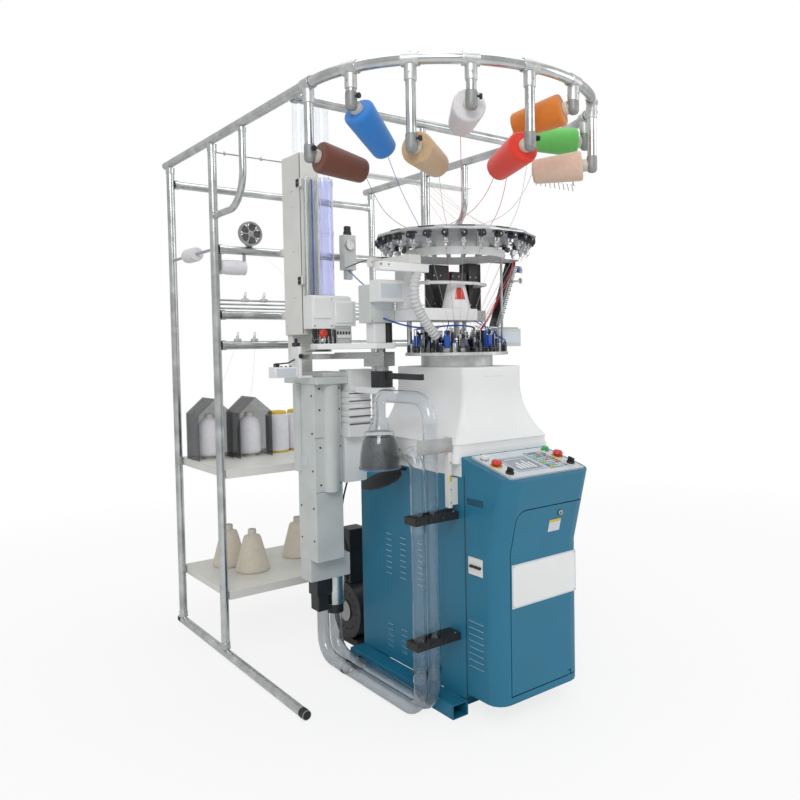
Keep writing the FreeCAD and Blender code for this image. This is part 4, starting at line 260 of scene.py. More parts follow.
class Batch:
    """Collects parts of one piece; each part has its material's place in the piece's list."""

    def __init__(self):
        self.verts, self.faces, self.mats, self.uvs = [], [], [], []

    def add(self, verts, faces, m=0, uvs=None, place=None):
        first = len(self.verts)
        self.verts += verts if place is None else [place @ v for v in verts]
        for i, face in enumerate(faces):
            self.faces.append(tuple(first + k for k in face))
            self.mats.append(m)
            self.uvs.append(uvs[i] if uvs else [(0, 0)] * len(face))

    def box(self, x0, x1, y0, y1, z0, z1, bevel=1.5, m=0, place=None):
        # a box with chamfered edges
        ends = [sorted(pair) for pair in ((x0, x1), (y0, y1), (z0, z1))]
        mid = [(a + b) / 2 for a, b in ends]
        half = [(b - a) / 2 for a, b in ends]
        cut = min(bevel, min(half) * 0.45)
        corners = list(product((-1, 1), repeat=3))
        verts, key = [], {}
        for s in corners:
            for a in range(3):
                key[s, a] = len(verts)
                verts.append(Vector([(mid[k] + s[k] * (half[k] - (0 if k == a else cut))) * MM for k in range(3)]))
        faces = []
        for a in range(3):
            def corner(*signs):
                # the corner with these signs along the axes a, a + 1 and a + 2
                return tuple(signs[(k - a) % 3] for k in range(3))
            for sa in (-1, 1):
                faces.append([key[corner(sa, *s), a] for s in ((-1, -1), (1, -1), (1, 1), (-1, 1))])
            for sa, sb in product((-1, 1), repeat=2):
                s0, s1, b = corner(sa, sb, -1), corner(sa, sb, 1), (a + 1) % 3
                faces.append([key[s0, a], key[s1, a], key[s1, b], key[s0, b]])
        faces += [[key[s, a] for a in range(3)] for s in corners]
        self.add(verts, faces, m, place=place)

    def lathe(self, profile, at, way=UP, steps=32, m=0, place=None):
        # a turned part; profile is (radius, height) along way from the point at
        turn = Matrix.Translation(P(*at)) @ Vector(UP).rotation_difference(Vector(way)).to_matrix().to_4x4()
        if place is not None:
            turn = place @ turn
        verts, rings = [], []
        for r, h in profile:
            count = steps if r > 0 else 1
            rings.append([len(verts) + k % count for k in range(steps)])
            for i in range(count):
                x, y = polar(r, 360 * i / steps)
                verts.append(turn @ P(x, y, h))
        length = 0
        faces, uvs = [], []
        for (a, b), (low, high) in zip(zip(rings, rings[1:]), zip(profile, profile[1:])):
            step = math.hypot(high[0] - low[0], high[1] - low[1]) * MM
            for i in range(steps):
                j = (i + 1) % steps
                quad = [a[i], a[j], b[j], b[i]]
                spots = [(i / steps, length), ((i + 1) / steps, length), ((i + 1) / steps, length + step),
                         (i / steps, length + step)]
                keep = [k for k in range(4) if quad[k] not in quad[:k]]
                if len(keep) > 2:
                    faces.append([quad[k] for k in keep])
                    uvs.append([spots[k] for k in keep])
            length += step
        self.add(verts, faces, m, uvs)

    def tube(self, points, radius, sides=14, m=0, inner=0.0):
        # a round tube along points; hollow where inner is given
        path = [P(*p) for p in points]
        ways = [(b - a).normalized() for a, b in zip(path, path[1:])]
        verts = []
        for r in (radius, inner) if inner else (radius,):
            u = ways[0].orthogonal().normalized()
            for i, p in enumerate(path):
                way, before = ways[min(i, len(ways) - 1)], ways[max(i - 1, 0)]
                if i:
                    u = (u - before * u.dot(before)).normalized()
                mitre = (way + before).normalized()
                v = before.cross(u)
                for k in range(sides):
                    c, s = polar(r * MM, 360 * k / sides)
                    off = u * c + v * s
                    verts.append(p + off - before * (off.dot(mitre) / before.dot(mitre)))
                u = (u - way * u.dot(way)).normalized()
        self.add(verts, sleeve(len(path), sides, inner), m)

    def prism(self, points, z0, z1, m=0, place=None):
        # an upright prism over points (x, y)
        n = len(points)
        self.add([P(x, y, z) for z in (z0, z1) for x, y in points],
                 [list(range(n)), list(range(n, 2 * n))] + quads(2, n), m, place=place)

    def bolt(self, at, way, r=4.0, m=0):
        # a cap screw's head with its socket
        self.lathe([(0, 0.6), (r * 0.5, 0.6), (r * 0.5, r * 0.8), (r * 0.85, r * 0.8), (r, r * 0.6), (r, -1)], at, way,
                   12, m)

    def make(self, name, mats, body="machine", slot=None, stands_for=(), sharp=40, weighted=True):
        mesh = bpy.data.meshes.new(name)
        mesh.from_pydata(self.verts, [], self.faces)
        for mat in mats:
            mesh.materials.append(mat)
        mesh.polygons.foreach_set("material_index", self.mats)
        layer = mesh.uv_layers.new(name="UVMap")
        layer.data.foreach_set("uv", [c for spots in self.uvs for spot in spots for c in spot])
        bm = bmesh.new()
        bm.from_mesh(mesh)
        bmesh.ops.recalc_face_normals(bm, faces=bm.faces)
        bm.to_mesh(mesh)
        bm.free()
        return finish_piece(name, mesh, body, slot, stands_for, sharp, weighted)


def finish_piece(name, mesh, body, slot, stands_for, sharp, weighted=True, bevel=0):
    piece = bpy.data.objects.new(name, mesh)
    bpy.context.scene.collection.objects.link(piece)
    mesh.polygons.foreach_set("use_smooth", [True] * len(mesh.polygons))
    mesh.set_sharp_from_angle(angle=math.radians(sharp))
    if bevel:
        edges = piece.modifiers.new("edges", "BEVEL")
        edges.width = bevel * MM
        edges.segments = 2
        edges.limit_method = "ANGLE"
        edges.angle_limit = math.radians(sharp)
        edges.use_clamp_overlap = True
    if weighted:
        piece.modifiers.new("normals", "WEIGHTED_NORMAL").keep_sharp = True
    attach(piece, body)
    if stands_for:
        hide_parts(*stands_for)
    return piece


def islands(bm):
    left = set(bm.verts)
    while left:
        todo, found = [left.pop()], set()
        while todo:
            v = todo.pop()
            found.add(v)
            for e in v.link_edges:
                other = e.other_vert(v)
                if other in left:
                    left.discard(other)
                    todo.append(other)
        yield found


def dress(node, mats, pick=None, bevel=1.2, sharp=38, slot=None):
    """A finer copy of a CAD node: its edges are rounded, and pick(centre, size) gives each solid's material,
    or None where the solid is left out."""
    source = frame["nodes"][node]
    mesh = source.data.copy()
    mesh.materials.clear()
    for mat in mats:
        mesh.materials.append(mat)
    bm = bmesh.new()
    bm.from_mesh(mesh)
    bmesh.ops.remove_doubles(bm, verts=bm.verts, dist=1e-6)
    drop = []
    for group in islands(bm):
        lo, hi = [Vector([end(v.co[k] for v in group) for k in range(3)]) * 1000 for end in (min, max)]
        index = pick((lo + hi) / 2, hi - lo) if pick else 0
        if index is None:
            drop += list(group)
            continue
        for v in group:
            for f in v.link_faces:
                f.material_index = index
    if drop:
        bmesh.ops.delete(bm, geom=drop, context="VERTS")
    flat = math.radians(0.5)
    bmesh.ops.dissolve_limit(bm, angle_limit=flat, verts=bm.verts, edges=bm.edges, delimit={"MATERIAL"})
    # faces that two touching solids share go, so that no seam shows between them
    met = {}
    for f in bm.faces:
        met.setdefault(frozenset(v.index for v in f.verts), []).append(f)
    shared = [f for faces in met.values() if len(faces) > 1 for f in faces]
    if shared:
        bmesh.ops.delete(bm, geom=shared, context="FACES")
        bmesh.ops.dissolve_limit(bm, angle_limit=flat, verts=bm.verts, edges=bm.edges, delimit={"MATERIAL"})
    bmesh.ops.recalc_face_normals(bm, faces=bm.faces)
    bm.to_mesh(mesh)
    bm.free()
    return finish_piece(node + "_finish", mesh, source["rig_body"], slot, (node,), sharp, bevel=bevel)


def smooth_line(name, points, steps=8):
    # a curve of one open spline with these control points, its path, and its length in metres
    data = bpy.data.curves.new(name, "CURVE")
    data.dimensions = "3D"
    data.resolution_u = steps
    line = data.splines.new("NURBS")
    line.points.add(len(points) - 1)
    for point, at in zip(line.points, points):
        point.co = (*P(*at), 1)
    line.order_u = 3
    line.use_endpoint_u = True
    piece = bpy.data.objects.new(name, data)
    mesh = bpy.data.meshes.new_from_object(piece)
    path = [v.co.copy() for v in mesh.vertices]
    bpy.data.meshes.remove(mesh)
    return piece, path, sum((b - a).length for a, b in zip(path, path[1:]))


def strand(name, points, mat, thick=0.9, declared=True):
    # a thread, air line or lead held at both ends; at most 40 of them are declared, the longer ones
    if len(points) == 2:
        points = [points[0], tuple((a + b) / 2 for a, b in zip(*points)), points[1]]
    piece, _, length = smooth_line(name, points)
    piece.data.bevel_depth = thick / 2 * MM
    piece.data.bevel_resolution = 1 if thick < 2 else 4
    piece.data.materials.append(mat)
    bpy.context.scene.collection.objects.link(piece)
    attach(piece, "machine")
    if declared:
        tuple(P(*points[0]))


def arc(centre, radius, first, last, steps, place):
    found = []
    for i in range(steps + 1):
        u, w = polar(radius, first + (last - first) * i / steps)
        found.append(place(centre[0] + u, centre[1] + w))
    return found


def smooth_path(points, radius, steps):
    # straight runs joined by round corners
    path = [Vector(points[0])]
    for a, b, c in zip(points, points[1:], points[2:]):
        a, b, c = Vector(a), Vector(b), Vector(c)
        u, v = (a - b).normalized(), (c - b).normalized()
        half = u.angle(v) / 2
        reach = min(radius / math.tan(half), (a - b).length * 0.49, (c - b).length * 0.49)
        r = reach * math.tan(half)
        centre = b + (u + v).normalized() * (r / math.sin(half))
        n0, n1 = [(b + way * reach - centre).normalized() for way in (u, v)]
        path += [centre + n0.slerp(n1, i / steps) * r for i in range(steps + 1)]
    path.append(Vector(points[-1]))
    return [tuple(p) for p in path]


# ---- camera, light and floor ------------------------------------------------
# the camera fit to the photograph: its size, focal length and middle in pixels
PICTURE, FOCAL, MIDDLE_X, MIDDLE_Y, SENSOR = 800, 766.714, 473.817, 376.18, 36
azimuth, pitch, roll = math.radians(-39.385), math.radians(-2.36), math.radians(-0.838)
look = Vector((-math.sin(azimuth) * math.cos(pitch), math.cos(azimuth) * math.cos(pitch), math.sin(pitch)))
level = Vector((math.cos(azimuth), math.sin(azimuth), 0))
above = level.cross(look)
right = level * math.cos(roll) + above * math.sin(roll)
up = -level * math.sin(roll) + above * math.cos(roll)
cam_data = bpy.data.cameras.new("camera")
cam = bpy.data.objects.new("camera", cam_data)
bpy.context.scene.collection.objects.link(cam)
cam.matrix_world = Matrix.Translation((-1.975, -2.514, 1.3873)) @ Matrix((right, up, -look)).transposed().to_4x4()
cam_data.sensor_width = SENSOR
cam_data.lens = FOCAL * SENSOR / PICTURE
cam_data.shift_x = (PICTURE / 2 - MIDDLE_X) / PICTURE
cam_data.shift_y = (MIDDLE_Y - PICTURE / 2) / PICTURE
cam_data.clip_start, cam_data.clip_end = 0.05, 100
bpy.context.scene.camera = cam
bpy.context.scene.view_settings.view_transform = "Standard"


def stage_floor():
    far = 30
    mesh = bpy.data.meshes.new("floor")
    mesh.from_pydata([(-far, -far, 0), (far, -far, 0), (far, far, 0), (-far, far, 0)], [], [(0, 1, 2, 3)])
    floor = bpy.data.objects.new("floor", mesh)
    bpy.context.scene.collection.objects.link(floor)
    mat = bpy.data.materials.new("floor_white")
    mat.use_nodes = True
    tree = mat.node_tree
    shader = tree.nodes["Principled BSDF"]
    feed(tree, shader, {"Base Color": (0.86, 0.86, 0.86, 1), "Roughness": 0.9, "Specular IOR Level": 0.1})
    glow = add_node(tree, "Emission", {"Strength": 1.0})
    # the floor's own white grows with the distance from the machine, so that it meets the backdrop unseen
    away = add_node(tree, "VectorMath", {0: add_node(tree, "TexCoord").outputs["Object"]}, operation="LENGTH")
    fade = add_node(tree, "MapRange", {"From Min": 1.0, "From Max": 5.0, "To Min": 0.80, "To Max": 1.0,
                                       "Value": away.outputs["Value"]})
    seen = add_node(tree, "LightPath").outputs["Is Camera Ray"]
    share = add_node(tree, "Math", {0: seen, 1: fade.outputs["Result"]}, operation="MULTIPLY")
    mix = add_node(tree, "MixShader", {0: share.outputs[0], 1: shader.outputs[0], 2: glow.outputs[0]})
    feed(tree, tree.nodes["Material Output"], {0: mix.outputs[0]})
    mesh.materials.append(mat)


def light(name, at, aim, size, power):
    data = bpy.data.lights.new(name, "AREA")
    data.shape = "RECTANGLE"
    data.size, data.size_y = size
    data.energy = power
    lamp = bpy.data.objects.new(name, data)
    bpy.context.scene.collection.objects.link(lamp)
    lamp.location = at
    lamp.rotation_euler = (Vector(aim) - Vector(at)).to_track_quat("-Z", "Y").to_euler()


def backdrop():
    # white where the camera sees it, and dimmer where it only lights the machine
    world = bpy.data.worlds.new("studio")
    bpy.context.scene.world = world
    world.use_nodes = True
    tree = world.node_tree
    rays = add_node(tree, "LightPath").outputs
    seen = add_node(tree, "Math", {0: rays["Is Camera Ray"], 1: rays["Is Transmission Ray"]}, operation="MAXIMUM")
    power = add_node(tree, "Math", {0: seen.outputs[0], 1: 0.42, 2: 0.58}, operation="MULTIPLY_ADD")
    feed(tree, tree.nodes["Background"], {"Color": (1, 1, 1, 1), "Strength": power.outputs[0]})


stage_floor()
backdrop()
light("key", (-3.2, -3.6, 4.2), (0, 0, 1.2), (2.2, 2.2), 95)
light("fill", (3.4, -3.0, 2.6), (0, 0, 1.2), (2.5, 2.0), 32)
light("top", (0.0, 0.2, 4.6), (0, 0.2, 1.0), (3.0, 3.0), 40)


# ---- base, cabinet and console ----------------------------------------------
for part, mat, edge, sharp, slot in (
        ("base_frame", TEAL, 1.5, 38, "blue_paint"), ("cabinet", TEAL, 3.0, 38, "blue_paint"),
        ("cabinet_plinth", WHITE, 2.5, 38, "cream_paint"), ("console_shell", TEAL, 2.5, 40, "blue_paint"),
        ("console_door", TEAL, 1.5, 40, "blue_paint")):
    dress(part, [mat], bevel=edge, sharp=sharp, slot=slot)


def louvres():
    # pressed hoods, each with a pale plate below it: painted light on the inside of the slit
    hoods = Batch()
    spots = [(y - 21, y + 21, z + i * 24) for z, n in ((425, 8), (110, 5)) for y in (215, 110, -15) for i in range(n)]
    console = [(-405, -318, 198 + i * 24) for i in range(8)]
    for side, y0, y1, z in [(-1, *s) for s in spots + console] + [(1, *s) for s in spots]:
        verts = []
        for k in range(5):
            out, rise = polar(1, 22.5 * k)
            for y, swell in ((y0, 0), (y0 + 2, 3.8), (y1 - 2, 3.8), (y1, 0)):
                verts.append(P(side * (SIDE + swell * out), y, z + 9 * rise))
        hoods.add(verts, quads(5, 4, closed=False))
        # painted light: the pale plate under the hood stands for light on the slit's inside
        hoods.box(side * (SIDE - 0.1), side * (SIDE + 0.6), y0 + 2, y1 - 2, z - 3.5, z + 2, 0.2, 1)
    hoods.make("side_louvre_hoods", [TEAL, PALE_SCREEN_MARKS_AND_SLIT_LIGHT], slot="blue_paint", stands_for=("side_louvres",), weighted=False)


def housing():
    # white head housing: flared walls with rounded corners, a stepped rim and a top flange
    half_x, half_y, flare_top, drop = 150, 235, 1235, 220
    radius_x, radius_y = [(flare ** 2 + drop ** 2) / (2 * flare) for flare in (90, 55)]
    rows = [(240, 290, 945, 22), (240, 290, 985, 22), (236, 286, 990, 22), (236, 286, 1012, 22)]
    for i in range(15):
        a = math.asin(drop / radius_x) * (1 - i / 14)
        z = flare_top - radius_x * math.sin(a)
        out_y = radius_y - math.sqrt(max(0, radius_y ** 2 - (flare_top - z) ** 2))
        rows.append((half_x + radius_x * (1 - math.cos(a)) - 0.5, half_y + out_y - 0.5, z, 24))
    rows += [(149.5, 234.5, 1288, 24), (half_x, half_y, 1290, 24), (half_x, half_y, 1297, 24), (147, 232, 1300, 22)]
    verts = [P(x, y, z) for wide, deep, z, r in rows for x, y in rounded(wide, deep, r, 6)]
    per = len(verts) // len(rows)
    shell = Batch()
    shell.add(verts, quads(len(rows), per) + [list(range(per)), list(range(len(verts) - per, len(verts)))])
    shell.box(-48, 48, -236.5, -233, 1262, 1285, 1, 0)
    for x in (-120, 0, 120):
        shell.bolt((x, -290.2, 968), FRONT, 5, 1)
    for y in (-240, -80, 80, 240):
        shell.bolt((-240.2, y, 968), LEFT, 5, 1)
    shell.make("head_housing_shell", [WHITE, STEEL], slot="cream_paint", stands_for=("head_housing",), sharp=50)


PANEL_UP = (0, -math.sin(math.radians(TILT)), math.cos(math.radians(TILT)))
PANEL_TURN = shift(*PANEL_EDGE) @ turn_x(TILT)


def on_panel(x, y, z=0.0):
    # a point on the sloping panel, or z above it
    return turned([(x, y, z)], PANEL_TURN)[0]


def panel():
    face = Batch()
    t = PANEL_TURN
    outline = rounded(190, 116, 12, 5, 136)
    face.prism(outline, 0.2, 6.8, 0, t)
    face.prism([(x * 0.985, 136 + (y - 136) * 0.975) for x, y in outline], 6.8, 7.9, 1, t)
    # the screen's frame and glass, with a plain drawing on it: a line and a few bars
    for row in ((-116, 26, 58, 196, 7.9, 9.4, 1.2, 0), (-104, 14, 70, 184, 9.3, 9.9, 0.3, 2),
                (-92, 2, 168, 172, 9.9, 10.1, 0.1, 3)):
        face.box(*row, t)
    for i, high in enumerate((34, 58, 46, 70, 52)):
        face.box(-88 + i * 18, -76 + i * 18, 80, 80 + high, 9.9, 10.1, 0.1, 3, t)
    # small keys in two blocks, on their membrane
    face.box(36, 132, 48, 214, 7.9, 8.8, 0.6, 0, t)
    face.box(38, 96, 52, 210, 8.7, 9.2, 0.4, 9, t)
    tones = [5, 1, 4, 5, 0, 6, 1, 7]
    for row, col in product(range(9), range(6)):
        x, y = 41 + col * 15 + (5 if col > 3 else 0), 57 + row * 17
        face.box(x, x + 10, y, y + 10, 8.8, 10.4, 0.8, tones[(row * 5 + col * 3 + row // 2) % 8], t)
    for x, y in ((-182, 36), (182, 36), (-182, 236), (182, 236)):
        face.bolt(on_panel(x, y, 7.8), PANEL_UP, 2.5, 8)
    face.make("control_panel_face", [PANEL, SIGN, SCREEN, PALE_SCREEN_MARKS_AND_SLIT_LIGHT, GREEN, YELLOW, BLUE, RED, STEEL, AQUA],
              slot="panel_plastic", stands_for=("control_panel",), sharp=50)


def push(name, node, body, place, cap, mushroom):
    b = Batch()
    base = 12.3
    x, y = place
    if mushroom:
        profile = [(6, -7), (6, 1), (11, 1.5), (15.2, 0), (19.4, 6.6), (19.9, 9), (19.8, 12.5), (18.4, 16), (14.8, 19),
                   (9, 19.8), (0, 20)]
    else:
        profile = [(6, -7), (6, 0), (14.6, 0), (14.8, 1), (14.8, 6), (13.2, 6.4), (13.0, 10.4), (11.8, 11.8), (0, 12)]
    b.lathe([(r, base + h) for r, h in profile], on_panel(x, y), PANEL_UP, 32, 0)
    for k in range(3 if mushroom else 0):
        b.box(-1.2, 1.2, 7, 14, base + 19, base + 20, 0.3, 1, shift(*on_panel(x, y)) @ turn_x(TILT) @ turn_z(120 * k))
    b.box(x - 6, x + 6, y - 6, y + 6, -8, base, 0.5, 1, PANEL_TURN)
    b.make(name, [cap, RUBBER], body, slot="red_plastic" if mushroom else None, stands_for=(node,), sharp=50)


def collars():
    # fixed rings under the push buttons, on the panel
    rings = Batch()
    for push_name, stop_name in (("white", "left"), ("green", "right")):
        for place, m, hole, r in ((PUSHES[push_name], 0, 15.2, 18), (STOPS[stop_name], 1, 20.3, 24)):
            rings.lathe([(hole, 7.9), (r, 7.9), (r, 9.5), (r - 1, 11.5), (hole + 0.6, 11.9), (hole, 11.3), (hole, 7.9)],
                        on_panel(*place), PANEL_UP, 32, m)
    rings.make("button_collars", [STEEL, YELLOW])


def knob(side, mark):
    b = Batch()
    x, y = KNOBS[side]
    b.lathe([(0, 8.3), (15.8, 8.3), (15.8, 14), (14.5, 16.2), (0, 16.3)], on_panel(x, y), PANEL_UP, 32, 0)
    b.box(x - 4.5, x + 4.5, y - 15, y + 15, 16.2, 30.2, 3.0, 0, PANEL_TURN)
    b.box(x - 0.8, x + 0.8, y + 2, y + 14.6, 30.0, 30.5, 0.2, 1, PANEL_TURN)
    b.make(side + "_knob", [RUBBER, mark], side + "_selector", slot="black_plastic",
           stands_for=(side + "_selector_knob",), sharp=50)


def console_trim():
    # bare sign plate and a plain plate on the door, as thick enamelled sheets
    front = CONSOLE_FRONT
    sign = Batch()
    sign.box(-146, 186, front - 1.6, front, 430, 590, 0.8, 0)
    sign.box(-140, 180, front - 2.0, front - 1.5, 436, 584, 0.5, 1)
    for x, z in product((-138, 178), (438, 582)):
        sign.lathe([(0, 0.8), (2.4, 0.6), (3, 0)], (x, front - 2.0, z), FRONT, 12, 2)
    sign.make("door_sign_plate", [SIGN, WHITE, STEEL], "door")
    lean = 70 / 275
    label = Batch()
    tilt = shift(52, front - lean * 80 - 0.3, 710) @ turn_x(math.degrees(math.atan(lean)))
    label.box(-30, 30, -1.0, 0, -24, 24, 0.4, 0, tilt)
    label.box(-30, 30, -1.3, -0.9, 14, 24, 0.2, 1, tilt)
    label.make("door_label_plate", [SIGN, YELLOW], "door")
    lock = Batch()
    y = -517.3
    lock.lathe([(0, -5.5), (5, -5.5), (5, -7), (9.5, -7.2), (10.8, -5.6), (10.9, 5), (10.9, 26.4), (0, 26.4)],
               (70, y, 757), BACK, 28, 0)
    lock.box(68.8, 71.2, y - 7.4, y - 6.2, 753, 761, 0.2, 1)
    lock.box(59, 81, -490.9, -487.9, 715, 768, 1.0, 0)
    lock.make("door_lock_barrel", [STEEL, BLACK], "lock", slot="machined_steel", stands_for=("door_lock",), sharp=50)
    # painted shade on the back of the side's hand recess, as a darker teal plate, its lower lip in plain teal, and the
    # dark gaskets behind the console
    grip = Batch()
    for row in ((-213.7, -212.5, -412.6, -318.4, 796, 821.6, 0.3, 0),
                (-214.6, -212.5, -412.6, -318.4, 785.4, 796, 0.8, 1),
                (-215.9, -214.5, -307.6, -303.6, 68, 900, 0.4, 2), (214.5, 215.9, -307.6, -303.6, 68, 900, 0.4, 2)):
        grip.box(*row)
    grip.make("console_grip", [PAINTED_RECESS_SHADE, TEAL, RUBBER])
    # breaker with its row of toggles in the side recess
    case = Batch()
    case.box(-213, -183, -404.7, -318.3, 538.3, 605.7, 1.5, 0)
    case.make("breaker_case", [BUTTON_WHITE], slot="white_plastic", stands_for=("breaker_body",), sharp=50)
    lever = Batch()
    for y0 in (-394, -372, -350):
        lever.box(-221.5, -205, y0, y0 + 18, 567.4, 576.6, 1.5, 0)
    lever.box(-214, -201, -394, -329.5, 568.5, 575.5, 1.0, 0)
    lever.make("breaker_toggles", [BLACK], "breaker", slot="black_plastic", stands_for=("breaker_lever",), sharp=50)


louvres()
housing()
panel()
for name, mat in (("white", BUTTON_WHITE), ("green", GREEN)):
    push(name + "_push_cap", name + "_button", name + "_push", PUSHES[name], mat, False)
for name in ("left", "right"):
    push(name + "_stop_cap", name + "_stop_button", name + "_stop", STOPS[name], RED, True)
collars()
knob("left", BUTTON_WHITE)
knob("right", YELLOW)
console_trim()


# ---- knitting head ----------------------------------------------------------
for part, mat, edge, sharp in (("drive_unit", GREY, 2, 38), ("motor_pulley", STEEL, 1, 38),
                               ("drive_belt", RUBBER, 0.5, 38), ("head_bed", CAST, 1.5, 25)):
    dress(part, [mat], bevel=edge, sharp=sharp)


def cylinder():
    # needle cylinder with its needle slots and latch needles, and the dial above it
    b = Batch()
    outline = [polar(r, 360 * i / NEEDLES + da) for i in range(NEEDLES)
               for da, r in ((0.0, 47.9), (1.9, 47.9), (2.1, 46.2), (4.0, 46.2))]
    n = len(outline)
    inner = [polar(40, 360 * i / n) for i in range(n)]
    rings = ((outline, 1180), (outline, 1399.6), (inner, 1399.6), (inner, 1150.2))
    b.add([P(x, y, z) for ring, z in rings for x, y in ring], quads(4, n))
    b.lathe([(40, 1150), (57.8, 1150), (57.8, 1152), (55, 1153), (55, 1177), (57.8, 1178), (57.8, 1180), (40, 1180)],
            (0, 0, 0), steps=60)
    for i in range(NEEDLES):
        b.box(46.4, 47.7, -0.35, 0.35, 1320, 1399.8, 0.1, 1, turn_z(360 * (i + 0.72) / NEEDLES))
    b.make("needle_cylinder_slotted", [STEEL, TUBE_STEEL], "cylinder", slot="machined_steel",
           stands_for=("needle_cylinder",), sharp=30, weighted=False)
    d = Batch()
    d.lathe([(0, 1404), (46, 1404), (47.8, 1405.5), (47.8, 1411), (46, 1413.8), (13, 1414), (11.9, 1416),
             (11.9, 1533.5), (0, 1534)], (0, 0, 0), steps=48)
    grooves = 42
    for i in range(grooves):
        d.box(16, 47, -0.5, 0.5, 1413.6, 1414.6, 0.1, 0, turn_z(360 * i / grooves))
    d.make("needle_dial_slotted", [STEEL], "dial", slot="machined_steel", stands_for=("needle_dial",), sharp=40)


def cams():
    ring = Batch()
    ring.lathe([(50.2, 1358), (112, 1358), (113, 1360), (113, 1398), (111, 1400), (86, 1400), (84, 1396), (66, 1396),
                (64, 1400), (52, 1400), (50.2, 1398), (50.2, 1358)], (0, 0, 0), steps=72, m=1)
    # three kinds of cam box: height, and the materials of body, end, lid, edge plate and spool
    kinds = ((1432, 0, 3, 3, 2, 2), (1418, 3, 0, 4, 1, 0), (1446, 0, 4, 0, 4, 1))
    for i in range(18):
        t = turn_z(20 * i)
        top, body, end, lid, edge, spool = kinds[i % 3]
        for row in ((113, 184, -16.5, 16.5, CAM_FLOOR, CAM_PADS, 1.5, 1),
                    (118, 160, -14, 14, CAM_PADS, top - 8, 2, body),
                    (160, 183, -11, 11, CAM_PADS, top - 20, 2, end), (122, 150, -9, 9, top - 8, top - 1, 1.5, lid)):
            ring.box(*row, t)
        for y in (-10, 10):
            ring.lathe([(0, 4), (3, 4), (3.4, 3), (3.4, 0)], (172, y, top - 20), steps=10, m=2, place=t)
            ring.lathe([(0, 3), (2.6, 3), (3, 2), (3, 0)], (126, y * 0.9, top - 8), steps=10, m=2, place=t)
        # yarn finger reaching in over the cylinder
        ring.box(60, 120, -3, 3, 1402, 1406, 1, 2, t)
        ring.tube(turned([(118, 6, top - 14), (96, 5, 1426), (64, 2, 1410)], t), 1.7, 8, 2)
        # spring on each box's side
        spring = []
        for k in range(25):
            dx, dy = polar(3.2, 60 * k)
            spring.append((132 + k * 1.1, 17.2 + dx * 0.4, 1392 + dy))
        ring.tube(turned(spring, t), 0.8, 5, 2)
        # plates, spools and posts that fill the ring's outer edge
        ring.box(160, 172, -15, -6, CAM_PADS, top - 2, 1.2, edge, t)
        ring.lathe([(0, 0), (7, 0), (7.5, 2), (4, 4), (4, 12), (7.5, 14), (7, 16), (0, 16)], (150, 13.5, top - 8),
                   UP, 14, spool, t)
        ring.tube(turned([(176, 12, CAM_PADS), (176, 12, 1452), (140, 10, 1462)], t), 1.8, 8, 2)
    ring.make("cam_ring_boxes", [BLACK, STEEL, TUBE_STEEL, DARK_STEEL_AND_RIB_SHADE, BLUE], slot="machined_steel",
              stands_for=("cam_ring",), sharp=40)
    links = Batch()
    # light grips, levers and little caps between the cam boxes
    for i in range(36):
        t = turn_z(10 * i + 5)
        r = 190 + rng.random() * 14
        links.lathe([(0, 24), (3.5, 24), (4, 22), (4, 6), (6, 5), (6, 0), (0, 0)], (r, 0, CAM_FLOOR), steps=12,
                    m=i % 3, place=t)
        links.box(r - 26, r + 2, -2, 2, CAM_FLOOR + 12, CAM_FLOOR + 16, 0.8, 0, t)
    for i in range(12):
        t = turn_z(30 * i + 8)
        links.box(100, 128, -5, 5, 1400.5, 1410, 1.2, (2, 3, 0)[i % 3], t)
        links.box(84, 106, -1.5, 1.5, 1404, 1440 + 8 * (i % 2), 0.5, 0, t)
    # valve heads in a circle on the plate, each with its blue fitting
    for i in range(24):
        t = turn_z(15 * i + 4)
        high = CAM_FLOOR + 26 + 10 * (i % 2)
        links.box(VALVE_R - 7, VALVE_R + 7, -6, 6, CAM_FLOOR, high, 1.5, (2, 1, 2, 0)[i % 4], t)
        links.lathe([(0, 0), (4, 0), (4.4, 1), (4.4, 6), (2.4, 7), (2.4, 12), (0, 12)], (VALVE_R, 0, high), UP, 12, 3,
                    t)
    links.make("cam_levers", [TUBE_STEEL, DARK_STEEL_AND_RIB_SHADE, BLACK, BLUE], sharp=40)


def platform_piece():
    dress("head_platform", [WHITE, TUBE_STEEL], lambda c, s: 0 if s.x > 300 else 1, bevel=2.5, sharp=40,
          slot="cast_aluminium")
    cone = Batch()
    cone.lathe([(59, 1535), (60, 1537), (59.4, 1542), (52, 1572), (46, 1600), (41, 1622), (37, 1636), (33, 1644),
                (26, 1649), (0, 1650)], (0, 0, 0), steps=56)
    cone.make("dial_cone", [WHITE], slot="cream_paint", stands_for=("dial_cover",), sharp=50)
    # the plain red patch on the cone
    patch = Batch()
    verts = []
    for j, step in enumerate((8.6, 8.4, 7.9, 7.0, 5.0)):
        z = 1573 + j * 12.2
        for k in range(7):
            x, y = polar(52.6 - (z - 1572) * 0.22, 252 + (k - 3) * step)
            verts.append(P(x, y, z))
    patch.add(verts, quads(5, 7, closed=False))
    patch.make("cone_patch", [RED], weighted=False)
    bars = Batch()
    rail_z = 1640
    bars.tube([(-150, -12, rail_z), (-60, -62, rail_z), (60, -62, rail_z), (150, -12, rail_z)], 7, 12, 0)
    bars.lathe([(0, -4), (10, -4), (10, 8), (0, 8)], (-150, -12, rail_z), LEFT, 16, 0)
    for s in (1, -1):
        bars.tube([(s * 150, -12, rail_z), (s * 168, 40, rail_z), (s * 168, 86, rail_z)], 7, 12, 0)
    bars.make("head_handrail", [WHITE])


